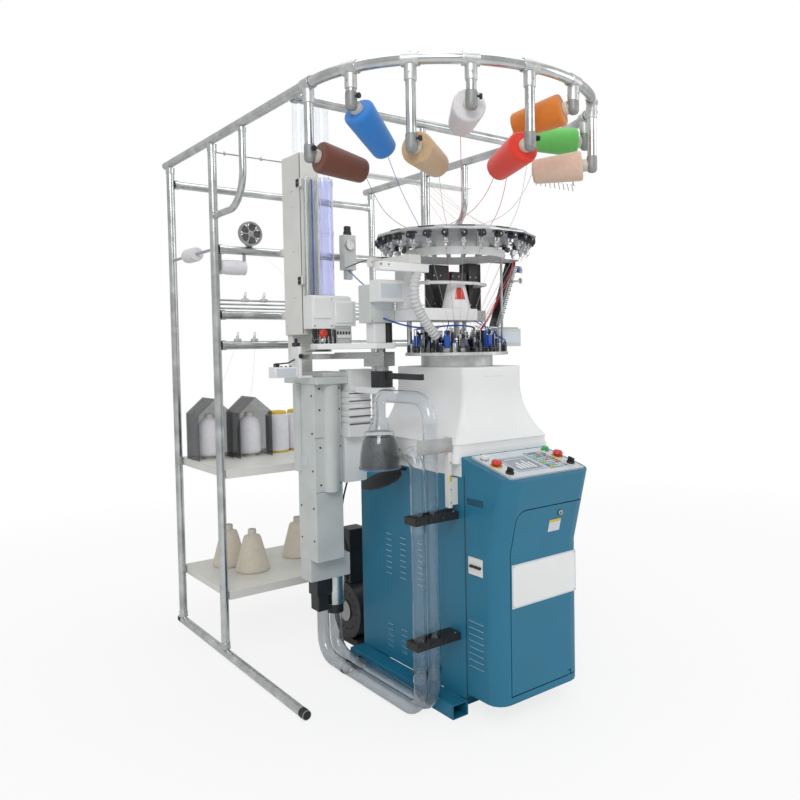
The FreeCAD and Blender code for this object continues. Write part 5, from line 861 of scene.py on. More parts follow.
def drives():
    def pick(c, size):
        if c.y > 84 and 1560 < c.z < 1740 and -140 <= c.x < 215 or c.x < -330 and c.z > 1660 and c.y < 0:
            return 0
        if c.x > 180 and c.z < 1500:
            return 2
        return 3 if c.z > 1690 else 1
    dress("head_drives", [BLACK, WHITE, GREY, CREAM], pick, bevel=2.5, slot="black_paint")
    b = Batch()
    # screws and label plates on the drive blocks
    for x, dx, z in product((-58, 40, 136), (8, 40), (1560, 1680)):
        b.bolt((x + dx, 83.6, z), FRONT, 3.5, 0)
    b.box(-316, -214, 78.6, 80.2, 1580, 1636, 1, 1)
    b.box(-350, -300, 78.8, 80.2, 1706, 1728, 1, 2)
    for x in (-355, -212):
        b.bolt((x, 79.8, 1718), FRONT, 3.5, 0)
    b.bolt((-435, -108.2, 1690), FRONT, 5, 0)
    b.bolt((-400, -108.2, 1690), FRONT, 4, 0)
    # front plate and lid of the box on the right
    b.box(205, 318, -44, -41, 1392, 1442, 1, 1)
    b.box(230, 320, -30, 36, 1455, 1461, 1.5, 2)
    b.make("head_trim", [STEEL, SIGN, IVORY])


def plate_and_sensors():
    dress("feeder_plate", [SCUFFED], bevel=1.5, sharp=20, slot="cast_aluminium")
    eyes = Batch()
    for i in range(CHANNELS):
        a = 360 * (i + 0.5) / CHANNELS
        eyes.lathe([(3.2, 0.2), (3.2, 2.8), (4.6, 3.6), (6.2, 2.8), (6.6, 0)], (*polar(EYELET_R, a), PLATE_TOP),
                   steps=16, m=0)
        eyes.bolt((*polar(210, a + 6), PLATE_TOP), UP, 3, 1)
    for a in range(0, 360, 30):
        eyes.box(292, 300, -34, 34, PLATE_TOP - 3.6, PLATE_TOP - 1.6, 0.8, 1, turn_z(a))
    eyes.lathe([(0, 14), (30, 14), (34, 11), (36, 0)], (-60, 60, PLATE_TOP), steps=32, m=1)
    eyes.make("plate_eyelets", [BUTTON_WHITE, STEEL])
    b = Batch()
    for i in range(CHANNELS):
        t = turn_z(360 * (i + 0.5) / CHANNELS)
        # tension disc and its motor under the rim, with the thread's eye below
        b.lathe([(0, 0), (9, 0), (10, 1.5), (10, 26), (12.5, 27), (13, 30), (12.5, 33), (8, 34.5), (4, 34), (0, 34)],
                (SENSOR_R, 0, 1806), RIGHT, 18, 0, t)
        b.lathe([(0, 36.5), (2.6, 36.2), (3.2, 35), (3.4, 33)], (SENSOR_R, 0, 1806), RIGHT, 10, 1, t)
        for row in ((283, 326, -10, 10, 1815, 1820, 1.2, 2), (284, 303, -9, 9, 1772, 1797, 2.5, 3),
                    (303, 315, -5, 5, 1780, 1792, 1.5, 1)):
            b.box(*row, t)
        b.lathe([(2, -1), (2, 3), (3.4, 4), (5, 3), (5, -1), (3.4, -2), (2, -1)], (293, 0, 1765), UP, 12, 4, t)
        b.box(288, 298, -6, 6, 1760, 1772, 1.5, 3, t)
        if i % 3 == 0:
            b.box(304, 312, -7, 7, 1794, 1798, 1, 5, t)
        # wire hook and small roller below each body
        b.tube(turned([(300, 7, 1772), (306, 8, 1757), (300, 4, 1748), (292, 0, 1752)], t), 1.1, 6, 1)
        b.lathe([(0, 0), (5.5, 0), (6, 2), (4.5, 4), (6, 6), (5.5, 8), (0, 8)], (291, 4, 1779), BACK, 14, 1, t)
        b.box(300, 318, 6, 12, 1797, 1815, 1.2, 2, t)
    b.make("yarn_sensor_set", [BLACK, TUBE_STEEL, DARK_STEEL_AND_RIB_SHADE, ZINC, BUTTON_WHITE, BLUE], slot="black_plastic",
           stands_for=("yarn_sensors",), sharp=40)


def guide():
    dress("guide_ring", [WHITE, DARK_STEEL_AND_RIB_SHADE, TUBE_STEEL], lambda c, s: 0 if s.x > 380 else 1 if c.z < 1740 else 2,
          bevel=1.0, sharp=25, slot="machined_steel")
    teeth = Batch()
    (top_x, top_z), (foot_x, foot_z) = COMB_TOP, COMB_FOOT
    pins = 44
    # fine thread pins down both edges of the slanted comb
    for side, i in product((-1, 1), range(pins)):
        f = i / (pins - 1)
        x, z = top_x + (foot_x - top_x) * f + 6, top_z + (foot_z - top_z) * f
        teeth.box(x - 1, x + 9, side * 23.2 - 0.7, side * 23.2 + 0.7, z - 0.9, z + 0.9, 0.2, 0)
    for y in (-25, 25):
        teeth.tube([(312, y, 1742), (208, y, 1466)], 1.6, 8, 0)
    teeth.lathe([(0, -26), (9, -26), (9, 26), (0, 26)], (292, 0, 1660), BACK, 20, 1)
    teeth.tube([(292, -24, 1660), (330, -34, 1664)], 5, 12, 0)
    teeth.lathe([(0, 0), (12, 0), (13, 2), (13, 6), (0, 7)], (330, -34, 1664), (1, -0.2, 0.1), 24, 2)
    # white guide strips of the comb, and the blue brush at its top
    lean = (top_x - foot_x) / (top_z - foot_z)
    for i in range(30):
        z = 1474 + i * 8.8
        x = top_x - (top_z - z) * lean
        for y in (-25.4, 23.6):
            teeth.box(x - 4, x + 13, y, y + 1.8, z, z + 4.2, 0.3, 2)
    for k in range(26):
        dy, dz = polar(1, 200 - 9 * k)
        teeth.tube([(322, -4 + dy * 5, 1706 + dz * 5), (343 + abs(dy) * 4, -4 + dy * 30, 1708 + dz * 28)], 1.3, 5, 3)
    teeth.lathe([(0, -4), (9, -4), (10, 0), (10, 16), (8, 18), (0, 18)], (312, -4, 1706), (1, 0, 0.05), 20, 0)
    for y in (-30, 26):
        teeth.box(306, 352, y, y + 4, 1728, 1748, 1.5, 0)
    teeth.make("comb_pins", [TUBE_STEEL, DARK_STEEL_AND_RIB_SHADE, BUTTON_WHITE, BLUE])


def hose():
    route = [(-262, -91, 1668), (-285, -91, 1596), (-240, -75, 1500), (-147, -62, 1418)]
    line, path, length = smooth_line("hose_line", route, 60)
    bpy.data.objects.remove(line)
    ribs, rib_r, rib_rise, bore = 20, 18.6, 2.2, 14.0
    verts = []
    rings, sides = len(path), 28
    for outside in (True, False):
        run = 0
        for i, at in enumerate(path):
            way = (path[i + 1] - path[i - 1]).normalized() if 0 < i < rings - 1 else Vector((0, 0, -1))
            across = way.cross(Vector(BACK)).normalized()
            side = across.cross(way)
            run += (at - path[i - 1]).length if i else 0
            r = rib_r + rib_rise * math.sin(run / length * math.tau * ribs - math.pi / 2) if outside else bore
            for k in range(sides):
                u, w = polar(r * MM, 360 * k / sides)
                verts.append(at + across * u + side * w)
    b = Batch()
    b.add(verts, sleeve(rings, sides, True))
    piece = b.make("ribbed_hose", [HOSE], slot="white_plastic", stands_for=("suction_hose",), sharp=70, weighted=False)
    tuple(path[0])
    [tuple(p) for p in path]


cylinder()
cams()
platform_piece()
drives()
plate_and_sensors()
guide()
hose()


# ---- creel ------------------------------------------------------------------
def creel_tubes():
    ring = Batch()
    bend = arc((RING_X, RING_Y), RING_R, 180, 360, 72, lambda x, y: (x, y, RING_Z))
    ring.tube([(LEFT_X, 1450, RING_Z)] + bend + [(RIGHT_X, 1450, RING_Z)], R_TUBE, 24, 0, inner=16.4)
    ring.make("creel_ring_tube", [TUBE_STEEL], slot="bright_tube", stands_for=("creel_ring",), sharp=50)
    b = Batch()
    under = RING_Z - FLAT
    for x in (LEFT_X, RIGHT_X):
        b.tube([(x, 53, FLAT), (x, 1427, FLAT)], R_TUBE, 24, 0)
        for y, way in ((53, BACK), (1427, FRONT)):
            b.lathe([(0, -1), (15, -1), (18.8, 2), (18.9, 34), (18.4, 36)], (x, y, FLAT), way, 28, 1)
        for y in (RAIL_Y, REAR_Y):
            b.tube([(x, y, 2 * FLAT), (x, y, under)], R_TUBE, 24, 0)
            b.lathe([(18.4, 0), (22, 0), (22, 3), (20.5, 5), (20.5, 26), (18.4, 28)], (x, y, 2 * FLAT), steps=28, m=0)
            b.lathe([(18.4, 0), (20.5, 2), (20.5, 28), (22, 30), (22, 32), (18.4, 33)], (x, y, under - 33),
                    steps=28, m=0)
        brace = arc((655, 2120), 150, 180, 270, 14, lambda y, z: (x, y, z))
        b.tube([(x, 505, under)] + brace + [(x, RAIL_Y - FLAT, 1970)], 14.4, 20, 0)
        for at, way in (((x, RAIL_Y - FLAT - 17, 1970), BACK), ((x, 505, under - 17), UP)):
            b.lathe([(14, 0), (17, 0), (17, 16), (14.5, 17)], at, way, 24, 0)
    for y, z in ((90, RING_Z), (REAR_Y, 2200), (RAIL_Y, 1825), (RAIL_Y, 1535), (RAIL_Y, 1400)):
        b.tube([(LEFT_X + FLAT, y, z), (RIGHT_X - FLAT, y, z)], R_TUBE, 24, 0)
        for x, way in ((LEFT_X + FLAT, 1), (RIGHT_X - FLAT, -1)):
            b.lathe([(18.4, 0), (21.5, 0), (21.5, 20), (18.4, 21)], (x, y, z), (way, 0, 0), 26, 0)
            b.bolt((x + way * 10, y, z + 21), UP, 3.5, 2)
    b.make("creel_frame_tubes", [TUBE_STEEL, RUBBER, STEEL], slot="bright_tube", stands_for=("creel_frame",), sharp=50)


def tee_at(i):
    # a tee's middle, and its tube's heading in degrees; the first one is on the straight run beside the ring
    around = PACKAGES[i][0]
    if i == 0:
        return Vector((LEFT_X, RING_Y + RING_R * math.sin(math.radians(around)), RING_Z)), -90.0
    dx, dy = polar(RING_R * math.cos(math.radians(5.4)), around)
    return Vector((RING_X + dx, RING_Y + dy, RING_Z)), around + 90


def tees():
    b = Batch()
    for i, (_, hub, _, _) in enumerate(PACKAGES):
        c, heading = tee_at(i)
        way = Vector((*polar(1, heading), 0))
        b.lathe([(19.4, 0), (22.5, 0), (23, 1.5), (22.4, 4), (22.2, 54), (23, 56.5), (22.5, 58), (19.4, 58)],
                tuple(c - way * 29), tuple(way), 28, 0)
        b.lathe([(0, 2), (19.5, 2), (20.5, 0), (20.5, -44), (19.5, -47), (17.2, -48), (16.6, -48)],
                (c.x, c.y, RING_Z - 20), UP, 28, 0)
        b.lathe([(16.6, 0), (16.6, RING_Z - 44 - hub - 31)], (c.x, c.y, hub + 31), UP, 28, 1)
        for turn in (90, -90):
            side = Vector((*polar(1, heading + turn), 0))
            b.bolt(tuple(c + side * 20.5 - Vector((0, 0, 44))), tuple(side), 3.5, 2)
        b.bolt(tuple(c + Vector((0, 0, 22.5))), UP, 3.5, 2)
    b.make("tee_castings", [CAST, TUBE_STEEL, STEEL], slot="cast_aluminium", stands_for=("tee_fittings",), sharp=45)


def holder_axes(i):
    # a package's hub, its heading in degrees, the way that its axis points, and the hub's face on that axis
    c, _ = tee_at(i)
    _, hub, slope, turn = PACKAGES[i]
    inward = math.degrees(math.atan2(-c.y, -c.x)) + turn
    flat = Vector((*polar(1, inward), 0))
    tilt = math.radians(slope)
    way = flat * math.cos(tilt) + Vector((0, 0, math.sin(tilt)))
    at = Vector((c.x, c.y, hub))
    return at, inward, way, at + way * (20 / way.dot(flat))


def packages():
    holders, yarns = Batch(), Batch()
    for i in range(len(PACKAGES)):
        at, inward, way, face = holder_axes(i)
        # cast holder with a rounded foot and a thumb screw
        t = Matrix.Translation(at * MM) @ turn_z(inward)
        holders.lathe([(0, -31), (10, -30.5), (16, -27), (19, -20), (19.6, -12), (19.6, 24), (18.4, 31), (0, 31)],
                      (0, 0, 0), UP, 28, 0, t)
        holders.box(-2, 20, -13, 13, -16, 18, 4, 0, t)
        holders.lathe([(0, 18), (4, 18), (4, 26), (9, 27), (9.5, 29), (9.5, 33), (9, 35), (0, 35.5)], (0, 0, 14),
                      FRONT, 18, 1, t)
        # hub disc inside the cone's butt
        holders.lathe([(0, -6), (14, -6), (14, -3), (22.6, -2), (23, 0), (23, 14), (21, 16), (0, 16)], tuple(face),
                      tuple(way), 32, 2)
        start = face + way * 16
        yarns.lathe([(20, -1), (24, -2), (27, 0.5), (44, 0.5), (50, 1.5), (54, 5), (55.6, 10), (55.6, 16),
                     (50.4, 100), (45.4, 172), (43.6, 181), (39, 187), (33, 189.5), (20, 189.8), (18, 188),
                     (16, 180), (0, 180)], tuple(start), tuple(way), 56, 1 + i)
        yarns.lathe([(12, 185), (19, 185), (19.5, 187), (18, 191.5), (12, 191.5), (12, 185)], tuple(start), tuple(way),
                    24, 0)
    holders.make("package_holder_castings", [HOLDER, RUBBER, IVORY], slot="grey_paint",
                 stands_for=("package_holders",), sharp=45)
    yarns.make("yarn_package_windings", [IVORY] + PACKAGE_YARNS, slot="wound_yarn", stands_for=("yarn_packages",),
               sharp=60, weighted=False)


def rods():
    # the four long rods are drawn anew, as rounder tubes
    dress("yarn_guides", [STEEL], lambda c, s: None if s.x > 900 else 0, bevel=0.6, slot="machined_steel")
    b = Batch()
    for z in (1565, 1583, 1601, 2250):
        b.tube([(LEFT_X + FLAT, RAIL_Y, z), (RIGHT_X - FLAT, RAIL_Y, z)], 4.3, 14, 0)
    # clips and pigtail eyes on the rods and rails
    for x, z in ((-560, 1601), (-470, 1601), (-250, 1601), (-600, 1420), (-520, 1420), (60, 1601), (180, 1601)):
        b.box(x - 14, x + 14, RAIL_Y - 13, RAIL_Y + 13, z - 6, z + 10, 3, 1)
        b.lathe([(0, 0), (6, 0), (6, 12), (4, 14), (0, 14)], (x, RAIL_Y, z + 10), steps=16, m=1)
        loop = []
        for k in range(13):
            dz, dy = polar(1, 39 * k)
            loop.append((x, RAIL_Y - 6 - 10 * dy, z + 30 + 8 * dz))
        b.tube(loop, 1.2, 6, 0)
    for x in (-640, -470, -330, 40, 240):
        b.lathe([(5, 0), (9, 0), (9, 8), (5, 8)], (x, RAIL_Y, 2250), RIGHT, 16, 1)
    b.make("thread_rods", [TUBE_STEEL, CAST], sharp=45)


def shelf_goods():
    dress("creel_shelves", [CREAM], bevel=1.5, slot="cream_paint")
    b = Batch()
    # each kind of bobbin and the spare cones: profile, steps and material
    covered = (([(0, 0), (30, 0), (32, 3), (32, 8), (24, 10), (24, 14)], 40, 2),
               ([(24, 12), (48, 14), (57, 26), (59, 40), (58.5, 120), (56, 160), (47, 182), (34, 196), (24, 200)],
                56, 0),
               ([(24, 198), (25, 200), (25, 208), (22, 216), (20, 221.5), (0, 221.5)], 36, 2))
    capped = (([(0, 0), (50, 0), (54, 2), (54, 8), (50, 11)], 44, 1),
              ([(50, 9), (57.5, 12), (58.5, 16), (58.5, 192), (57, 197), (48, 199)], 56, 0),
              ([(44, 198), (46, 199), (47, 206), (44, 213), (36, 215), (20, 215), (18, 208), (0, 208)], 44, 1))
    cone = (([(0, 0), (74, 0), (80, 5), (81, 12), (78, 26), (60, 96), (43, 160), (38, 172), (26, 177), (18, 178)],
             60, 3),
            ([(20, 176), (20, 200), (18, 205), (14, 205), (14, 190), (0, 190)], 32, 2))
    for kind, z, spots in ((covered, UPPER_SHELF, ((-586, 1250), (-402, 1200))),
                           (capped, UPPER_SHELF, ((-237, 1230), (-118, 1250))),
                           (cone, LOWER_SHELF, ((-458, 1068), (-505, 1244), (-168, 1166)))):
        for (x, y), (profile, steps, m) in product(spots, kind):
            b.lathe(profile, (x, y, z), steps=steps, m=m)
    b.make("shelf_windings", [YARN_WHITE, YELLOW, IVORY, YARN_CREAM], slot="elastic_yarn", stands_for=("shelf_yarn",),
           sharp=50, weighted=False)
    dress("bobbin_covers", [FILM], bevel=0.8, slot="clear_acrylic")


def wheels():
    b = Batch()
    axle = (-535, 825.7, 1902)
    b.lathe([(6.3, 0), (13, 0), (14, 1), (14, 15), (13, 16), (6.3, 16), (6.3, 0)], axle, FRONT, 32, 0)
    b.lathe([(46, 1), (55, 1), (55.3, 3), (53, 8), (55.3, 13), (55, 15), (46, 15), (45, 8), (46, 1)], axle, FRONT,
            56, 1)
    for i in range(5):
        t = shift(*axle) @ turn_x(90) @ turn_z(72 * i + 36)
        b.box(12, 48, -3.5, 3.5, 5, 11, 1.2, 1, t)
        b.box(13, 47, -16, 16, 7.4, 8.6, 0.3, 2, t @ turn_z(36))
    b.make("yarn_wheel_disc", [TUBE_STEEL, STEEL, DARK_STEEL_AND_RIB_SHADE], "tension_wheel", slot="black_plastic",
           stands_for=("yarn_wheel",), sharp=40)
    for name, node, body, at, way, profile in (
            ("rail_spool_winding", "elastic_spool", "rail_spool", (-668, RAIL_Y, 1748), RIGHT,
             [(7.2, 0.2), (33, 0.2), (33.6, 2), (30, 5), (31, 12), (33.4, 30), (33.4, 80), (31, 98), (30, 105),
              (33.6, 108), (33, 109.8), (7.2, 109.8), (7.2, 0.2)]),
            ("rod_spool_winding", "side_spool", "rod_spool", (LEFT_X, 1050, 1825), BACK,
             [(7.2, 0.2), (30, 0.2), (30, 12), (33.4, 20), (33.4, 110), (30, 118), (30, 129.8), (7.2, 129.8),
              (7.2, 0.2)])):
        s = Batch()
        s.lathe(profile, at, way, 48, 0)
        s.make(name, [YARN_WHITE], body, slot="elastic_yarn", stands_for=(node,), sharp=50, weighted=False)


creel_tubes()
tees()
packages()
rods()
shelf_goods()
wheels()
dress("hanging_post", [TUBE_STEEL, STRIP], lambda c, s: 1 if s.x > 300 else 0, bevel=0.8, sharp=35, slot="bright_tube")


# ---- toe-closing device -----------------------------------------------------
def station():
    def duct(c, s):
        if c.z < 360 and s.x < 70 and s.z < 80:
            return 1
        return 2 if s.x > 60 and s.y > 60 and 190 < c.z < 370 and c.y > 480 else 0
    dress("station_duct", [GREY, BLACK, TUBE_STEEL], duct, bevel=2.0, sharp=35, slot="cream_paint")
    dress("station_column", [CREAM, TUBE_STEEL], lambda c, s: 1 if s.x < 20 else 0, bevel=1.5, slot="cream_paint")
    dress("column_door", [CREAM], bevel=1.0, sharp=35, slot="cream_paint")
    b = Batch()
    for z, y in product((560, 700, 860, 1020, 1180), (420, 530)):
        b.bolt((DUCT_SIDE - 0.2, y, z), LEFT, 4, 0)
    for z, x in product((800, 960, 1120, 1210), (-430, -336)):
        b.bolt((x, DUCT_FRONT - 0.2, z), FRONT, 4, 0)
    b.box(DUCT_SIDE - 1.4, DUCT_SIDE, 470, 540, 880, 916, 0.5, 1)
    for z in (300, 340):
        b.bolt((-400, 465.8, z), FRONT, 4, 0)
    # seams of the duct's front panels
    for z in (768, 1000):
        b.box(DUCT_SIDE, -325, DUCT_FRONT - 0.8, DUCT_FRONT, z, z + 1.6, 0.2, 2)
    b.make("duct_screws", [RUBBER, SIGN, DARK_STEEL_AND_RIB_SHADE])
    d = Batch()
    for z in (1655, 2070):
        d.box(-455.5, -450, 492, 520, z + 0.6, z + 33.4, 1.0, 0)
        for y in (500, 512):
            d.bolt((-455.4, y, z + 17), LEFT, 2.4, 1)
    for y, z in ((560, 2060), (575, 2060), (560, 1990), (560, 1800), (560, 1600), (640, 1480)):
        d.bolt((-450, y, z), LEFT, 2.6, 1)
    d.make("column_hinges", [RUBBER, STEEL], "column_cover")


def linking():
    def pick(c, s):
        if c.z < 1465 and c.y < 440 and s.y < 15:
            return 1
        return 2 if c.x > -320 and c.z < 1465 else 0
    dress("linking_head", [WHITE, CREAM, GREY], pick, bevel=3.0, slot="cream_paint")
    dress("arm_motor", [WHITE, GREY, BLACK], lambda c, s: 1 if s.z > 120 else (2 if s.x < 45 else 0), bevel=3.0,
          sharp=40, slot="cream_paint")
    dress("swing_arm", [STEEL], bevel=1.0, sharp=30, slot="cast_aluminium")
    dress("toe_frame", [WHITE, STEEL], lambda c, s: 1 if s.x < 65 and s.y < 65 else 0, bevel=1.5, sharp=40,
          slot="cream_paint")
    dress("hand_lever", [BLACK], bevel=2.5, sharp=35, slot="black_paint")
    b = Batch()
    for profile, steps in (([(0, 4), (18, 4), (19.4, 7), (19.8, 10), (19.4, 14), (17, 17.6), (10, 19.8), (0, 20)], 32),
                           ([(0, 0), (11, 0), (13, 4.2), (0, 4.2)], 24)):
        b.lathe(profile, (-400, STOP_Y, 1442), FRONT, steps, 0)
    b.box(-406, -394, STOP_Y, STOP_Y + 18, 1436, 1448, 0.6, 1)
    b.make("toe_stop_cap", [RED, RUBBER], "toe_stop", slot="red_plastic", stands_for=("toe_stop_button",), sharp=50)
    d = Batch()
    d.lathe([(0, 1366), (50, 1366), (54, 1367), (55.8, 1370), (55, 1374), (47, 1390), (40.5, 1402), (38, 1404),
             (14, 1404), (11.9, 1406), (11.9, 1517.5), (0, 1518)], (LINK_X, LINK_Y, 0), steps=52)
    for i in range(60):
        d.box(50, 55.6, -0.6, 0.6, 1366.2, 1369.6, 0.15, 1, shift(LINK_X, LINK_Y, 0) @ turn_z(6 * i))
    d.make("linking_dial_points", [STEEL, TUBE_STEEL], "linking", slot="machined_steel", stands_for=("linking_dial",),
           sharp=40)


def linking_trim():
    t = Batch()
    # screws, plates and small levers round the linking head
    for z, x in product((1590, 1476), (-440, -360)):
        t.bolt((x, 404.8, z), FRONT, 4, 0)
    t.box(-344, -262, 383.6, 385.2, 1486, 1570, 1.2, 1)
    for x in range(-338, -268, 14):
        t.box(x, x + 8, 398.6, 400.2, 1440, 1452, 0.6, 2)
    for x in (-338, -272):
        t.bolt((x, 399.8, 1412), FRONT, 3, 0)
    t.box(-303, -222, 148.4, 150.2, 1540, 1580, 1, 1)
    for z, x in product((1490, 1630), (-318, -212)):
        t.bolt((x, 149.8, z), FRONT, 3.5, 0)
    for x in (-430, -410, -390, -370):
        t.lathe([(0, 30), (3, 30), (3.5, 28), (3.5, 0)], (x, 380, 1400), steps=12, m=0)
    t.box(-262.2, -238, -94.5, -20, 1275.8, 1277, 0.4, 1)
    # rounded cover lids, dark blocks, levers and springs under the linking head
    for row in ((-446, -362, 397, 406, 1508, 1596, 4, 4), (-354, -266, 379, 388, 1488, 1576, 4, 4),
                (-450, -262, 420, 486, 1599, 1606, 3, 4)):
        t.box(*row)
    for x, wide, back, low, m in ((-438, 20, 419, 1406, 2), (-412, 14, 420, 1418, 3), (-376, 16, 419, 1402, 2),
                                  (-358, 10, 420, 1412, 0)):
        t.box(x - wide / 2, x + wide / 2, 404, back, low, 1464, 1.5, m)
        t.bolt((x, 403.8, low + 12), FRONT, 3.5, 0)
    for k in range(6):
        x = -446 + 16 * k
        t.tube([(x, 424, 1464), (x - 6, 408, 1436), (x + 3, 402, 1409)], 1.6, 6, 3 if k % 2 else 0)
    for row in ((-446, -330, 404, 412, 1400.5, 1406, 1.0, 2), (-352, -346, 392, 400, 1402, 1460, 1.0, 2),
                (-340, -268, 393, 400, 1424, 1436, 1.0, 4)):
        t.box(*row)
    # dark shade strips between the ribs of the frame below
    for z in (1052, 1085, 1118, 1151, 1184):
        t.box(-324, -214, 333.6, 335.4, z, z + 5, 0.5, 3)
    # white switch plate on the duct's top and the small box beside it
    t.box(-506, DUCT_SIDE, 404, 466, 1258, 1268, 1.5, 4)
    t.box(-520, -505, 398, 472, 1258, 1390, 2.0, 4)
    t.lathe([(0, 0), (9, 0), (10, 2), (10, 6), (0, 6)], (-512, 398, 1350), FRONT, 20, 2)
    t.box(-522, -503, 416, 456, 1390, 1406, 2.0, 2)
    t.lathe([(0, 0), (7, 0), (7, 16), (5, 18), (0, 18)], (-512, 436, 1406), UP, 18, 2)
    t.box(-624, -520, 404, 466, 1262, 1306, 3.0, 4)
    t.box(-616, -530, 402.8, 404.2, 1268, 1300, 1.0, 1)
    t.tube([(-612, 436, 1306), (-612, 436, 1318), (-550, 436, 1322), (-519, 436, 1336)], 3.2, 10, 2)
    t.lathe([(0, 0), (8, 0), (9, 3), (9, 14), (6, 17), (0, 17)], (-598, 436, 1306), UP, 18, 2)
    for x in (-580, -560, -540):
        t.bolt((x, 436, 1306), UP, 5, 2)
    t.make("linking_trim", [STEEL, SIGN, BLACK, DARK_STEEL_AND_RIB_SHADE, WHITE])


def clear_parts():
    pipes = Batch()
    outer, inner = PIPES
    bell_x, bell_y, _ = BELL
    front = PIPE_FRONT
    for route in ([(outer, 505, 232), (outer, 505, 30), (outer, front, 30), (outer, front, 960),
                   (outer - 10, -195, 1000)],
                  [(inner, 505, 205), (inner, 505, 30), (inner, front, 30), (inner, front, 1190),
                   (bell_x, bell_y, 1190), (bell_x, bell_y, 1100)]):
        pipes.tube(smooth_path(route, 90, 10), 26.5, 28, 0, inner=23.5)
    sleeves = [((x, front, z), UP) for x, z in ((outer, 150), (outer, 700), (inner, 150), (inner, 960))]
    for at, way in sleeves + [((x, 300, 30), BACK) for x in PIPES]:
        pipes.lathe([(26.6, 0), (28.2, 1), (28.2, 40), (26.6, 41), (26.6, 0)], at, way, 32, 0)
    pipes.make("clear_transport_pipes", [CLEAR], slot="clear_acrylic", stands_for=("transport_pipes",), sharp=60,
               weighted=False)
    bell = Batch()
    wall = [(83, 0), (82.6, 10), (80.5, 40), (77, 70), (70, 105), (60, 140), (52, 152), (44, 158), (40, 166), (37, 178),
            (34, 192), (32.6, 204)]
    inside = [(r - 3.0, h) for r, h in wall]
    bell.lathe([(81, -0.2), (83.4, 0)] + wall + [(30, 204.6)] + inside[::-1] + [(80, 0), (81, -0.2)], BELL, steps=56)
    bell.lathe([(83.2, 3), (84.6, 4), (84.6, 9), (83.2, 10)], BELL, steps=56, m=0)
    bell.make("clear_bell", [CLEAR], slot="clear_acrylic", stands_for=("transfer_bell",), sharp=60, weighted=False)
    # dark mesh liner on the bell's inner wall, with its clear collar on top
    liner = Batch()
    wall = [(79.2, 8), (78.8, 12), (77, 40), (73.6, 70), (66.6, 105), (58.6, 130)]
    liner.lathe(wall + [(r - 1.2, h) for r, h in wall[::-1]] + [wall[0]], BELL, steps=56, m=0)
    liner.lathe([(60.5, 141), (62.5, 143), (62, 149), (58, 151), (52.6, 151), (60.5, 141)], BELL, steps=48, m=1)
    liner.make("bell_liner", [MESH, STRIP], sharp=60, weighted=False)
    tubes = Batch()
    for x, core in ((-430, 3), (-402, 2), (-374, 3)):
        tubes.tube([(x, 474, 1600), (x, 474, 2110)], 11.4, 24, 0, inner=9.4)
        tubes.lathe([(11.5, 0), (13, 0), (13, 14), (11.5, 14)], (x, 474, 1600), steps=24, m=0)
        # the air hose that stands inside
        tubes.tube([(x - 3, 472, 1600), (x - 3, 472, 2104)], 3.6, 12, core)
    tubes.tube([(*BIG_TUBE, 1600), (*BIG_TUBE, 2125)], 41, 40, 1, inner=38)
    for z in (1602, 1880, 2100):
        tubes.lathe([(41, 0), (43, 1), (43, 16), (41, 17)], (*BIG_TUBE, z), steps=40, m=0)
    # the arch from the column's top over to the big tube
    span = math.hypot(96, 30)
    bend = arc((0, 2495 - 29 - span / 2), span / 2, 180, 0, 16,
               lambda u, z: (-358 + 96 / span * u, 560 - 30 / span * u, z))
    tubes.tube([(-406, 575, 2215)] + bend + [(*BIG_TUBE, 2125)], 28.2, 28, 0, inner=25.4)
    tubes.make("clear_column_tubes", [CLEAR, LILAC, BLUE, BUTTON_WHITE], slot="clear_acrylic",
               stands_for=("clear_tubes",), sharp=60, weighted=False)


def brackets():
    def pick(c, s):
        if s.x > 100 and s.z < 40 and c.z < 800:
            return 0
        return 1 if s.y < 10 and s.z > 40 else 2 if s.z > 90 else 0
    dress("pipe_brackets", [RUBBER, TUBE_STEEL, CREAM], pick, bevel=1.5, sharp=35, slot="black_plastic")
    dress("bell_flap", [RUBBER], bevel=1.0, sharp=35, slot="black_plastic")
    b = Batch()
    for z in (290, 750):
        for x in (-404, -347, -290):
            b.lathe([(0, 0), (8, 0), (9, 2), (9, 7), (7, 9), (0, 9)], (x, -271, z), FRONT, 16, 0)
        b.bolt((-235, -262, z + 14), UP, 4, 1)
    for z in (800, 850, 900, 950, 1030):
        b.bolt((-248, -266.2, z), FRONT, 3, 1)
    b.box(-254, -243, -268, -266, 880, 900, 0.6, 2)
    b.make("clamp_knobs", [RUBBER, STEEL, YELLOW])


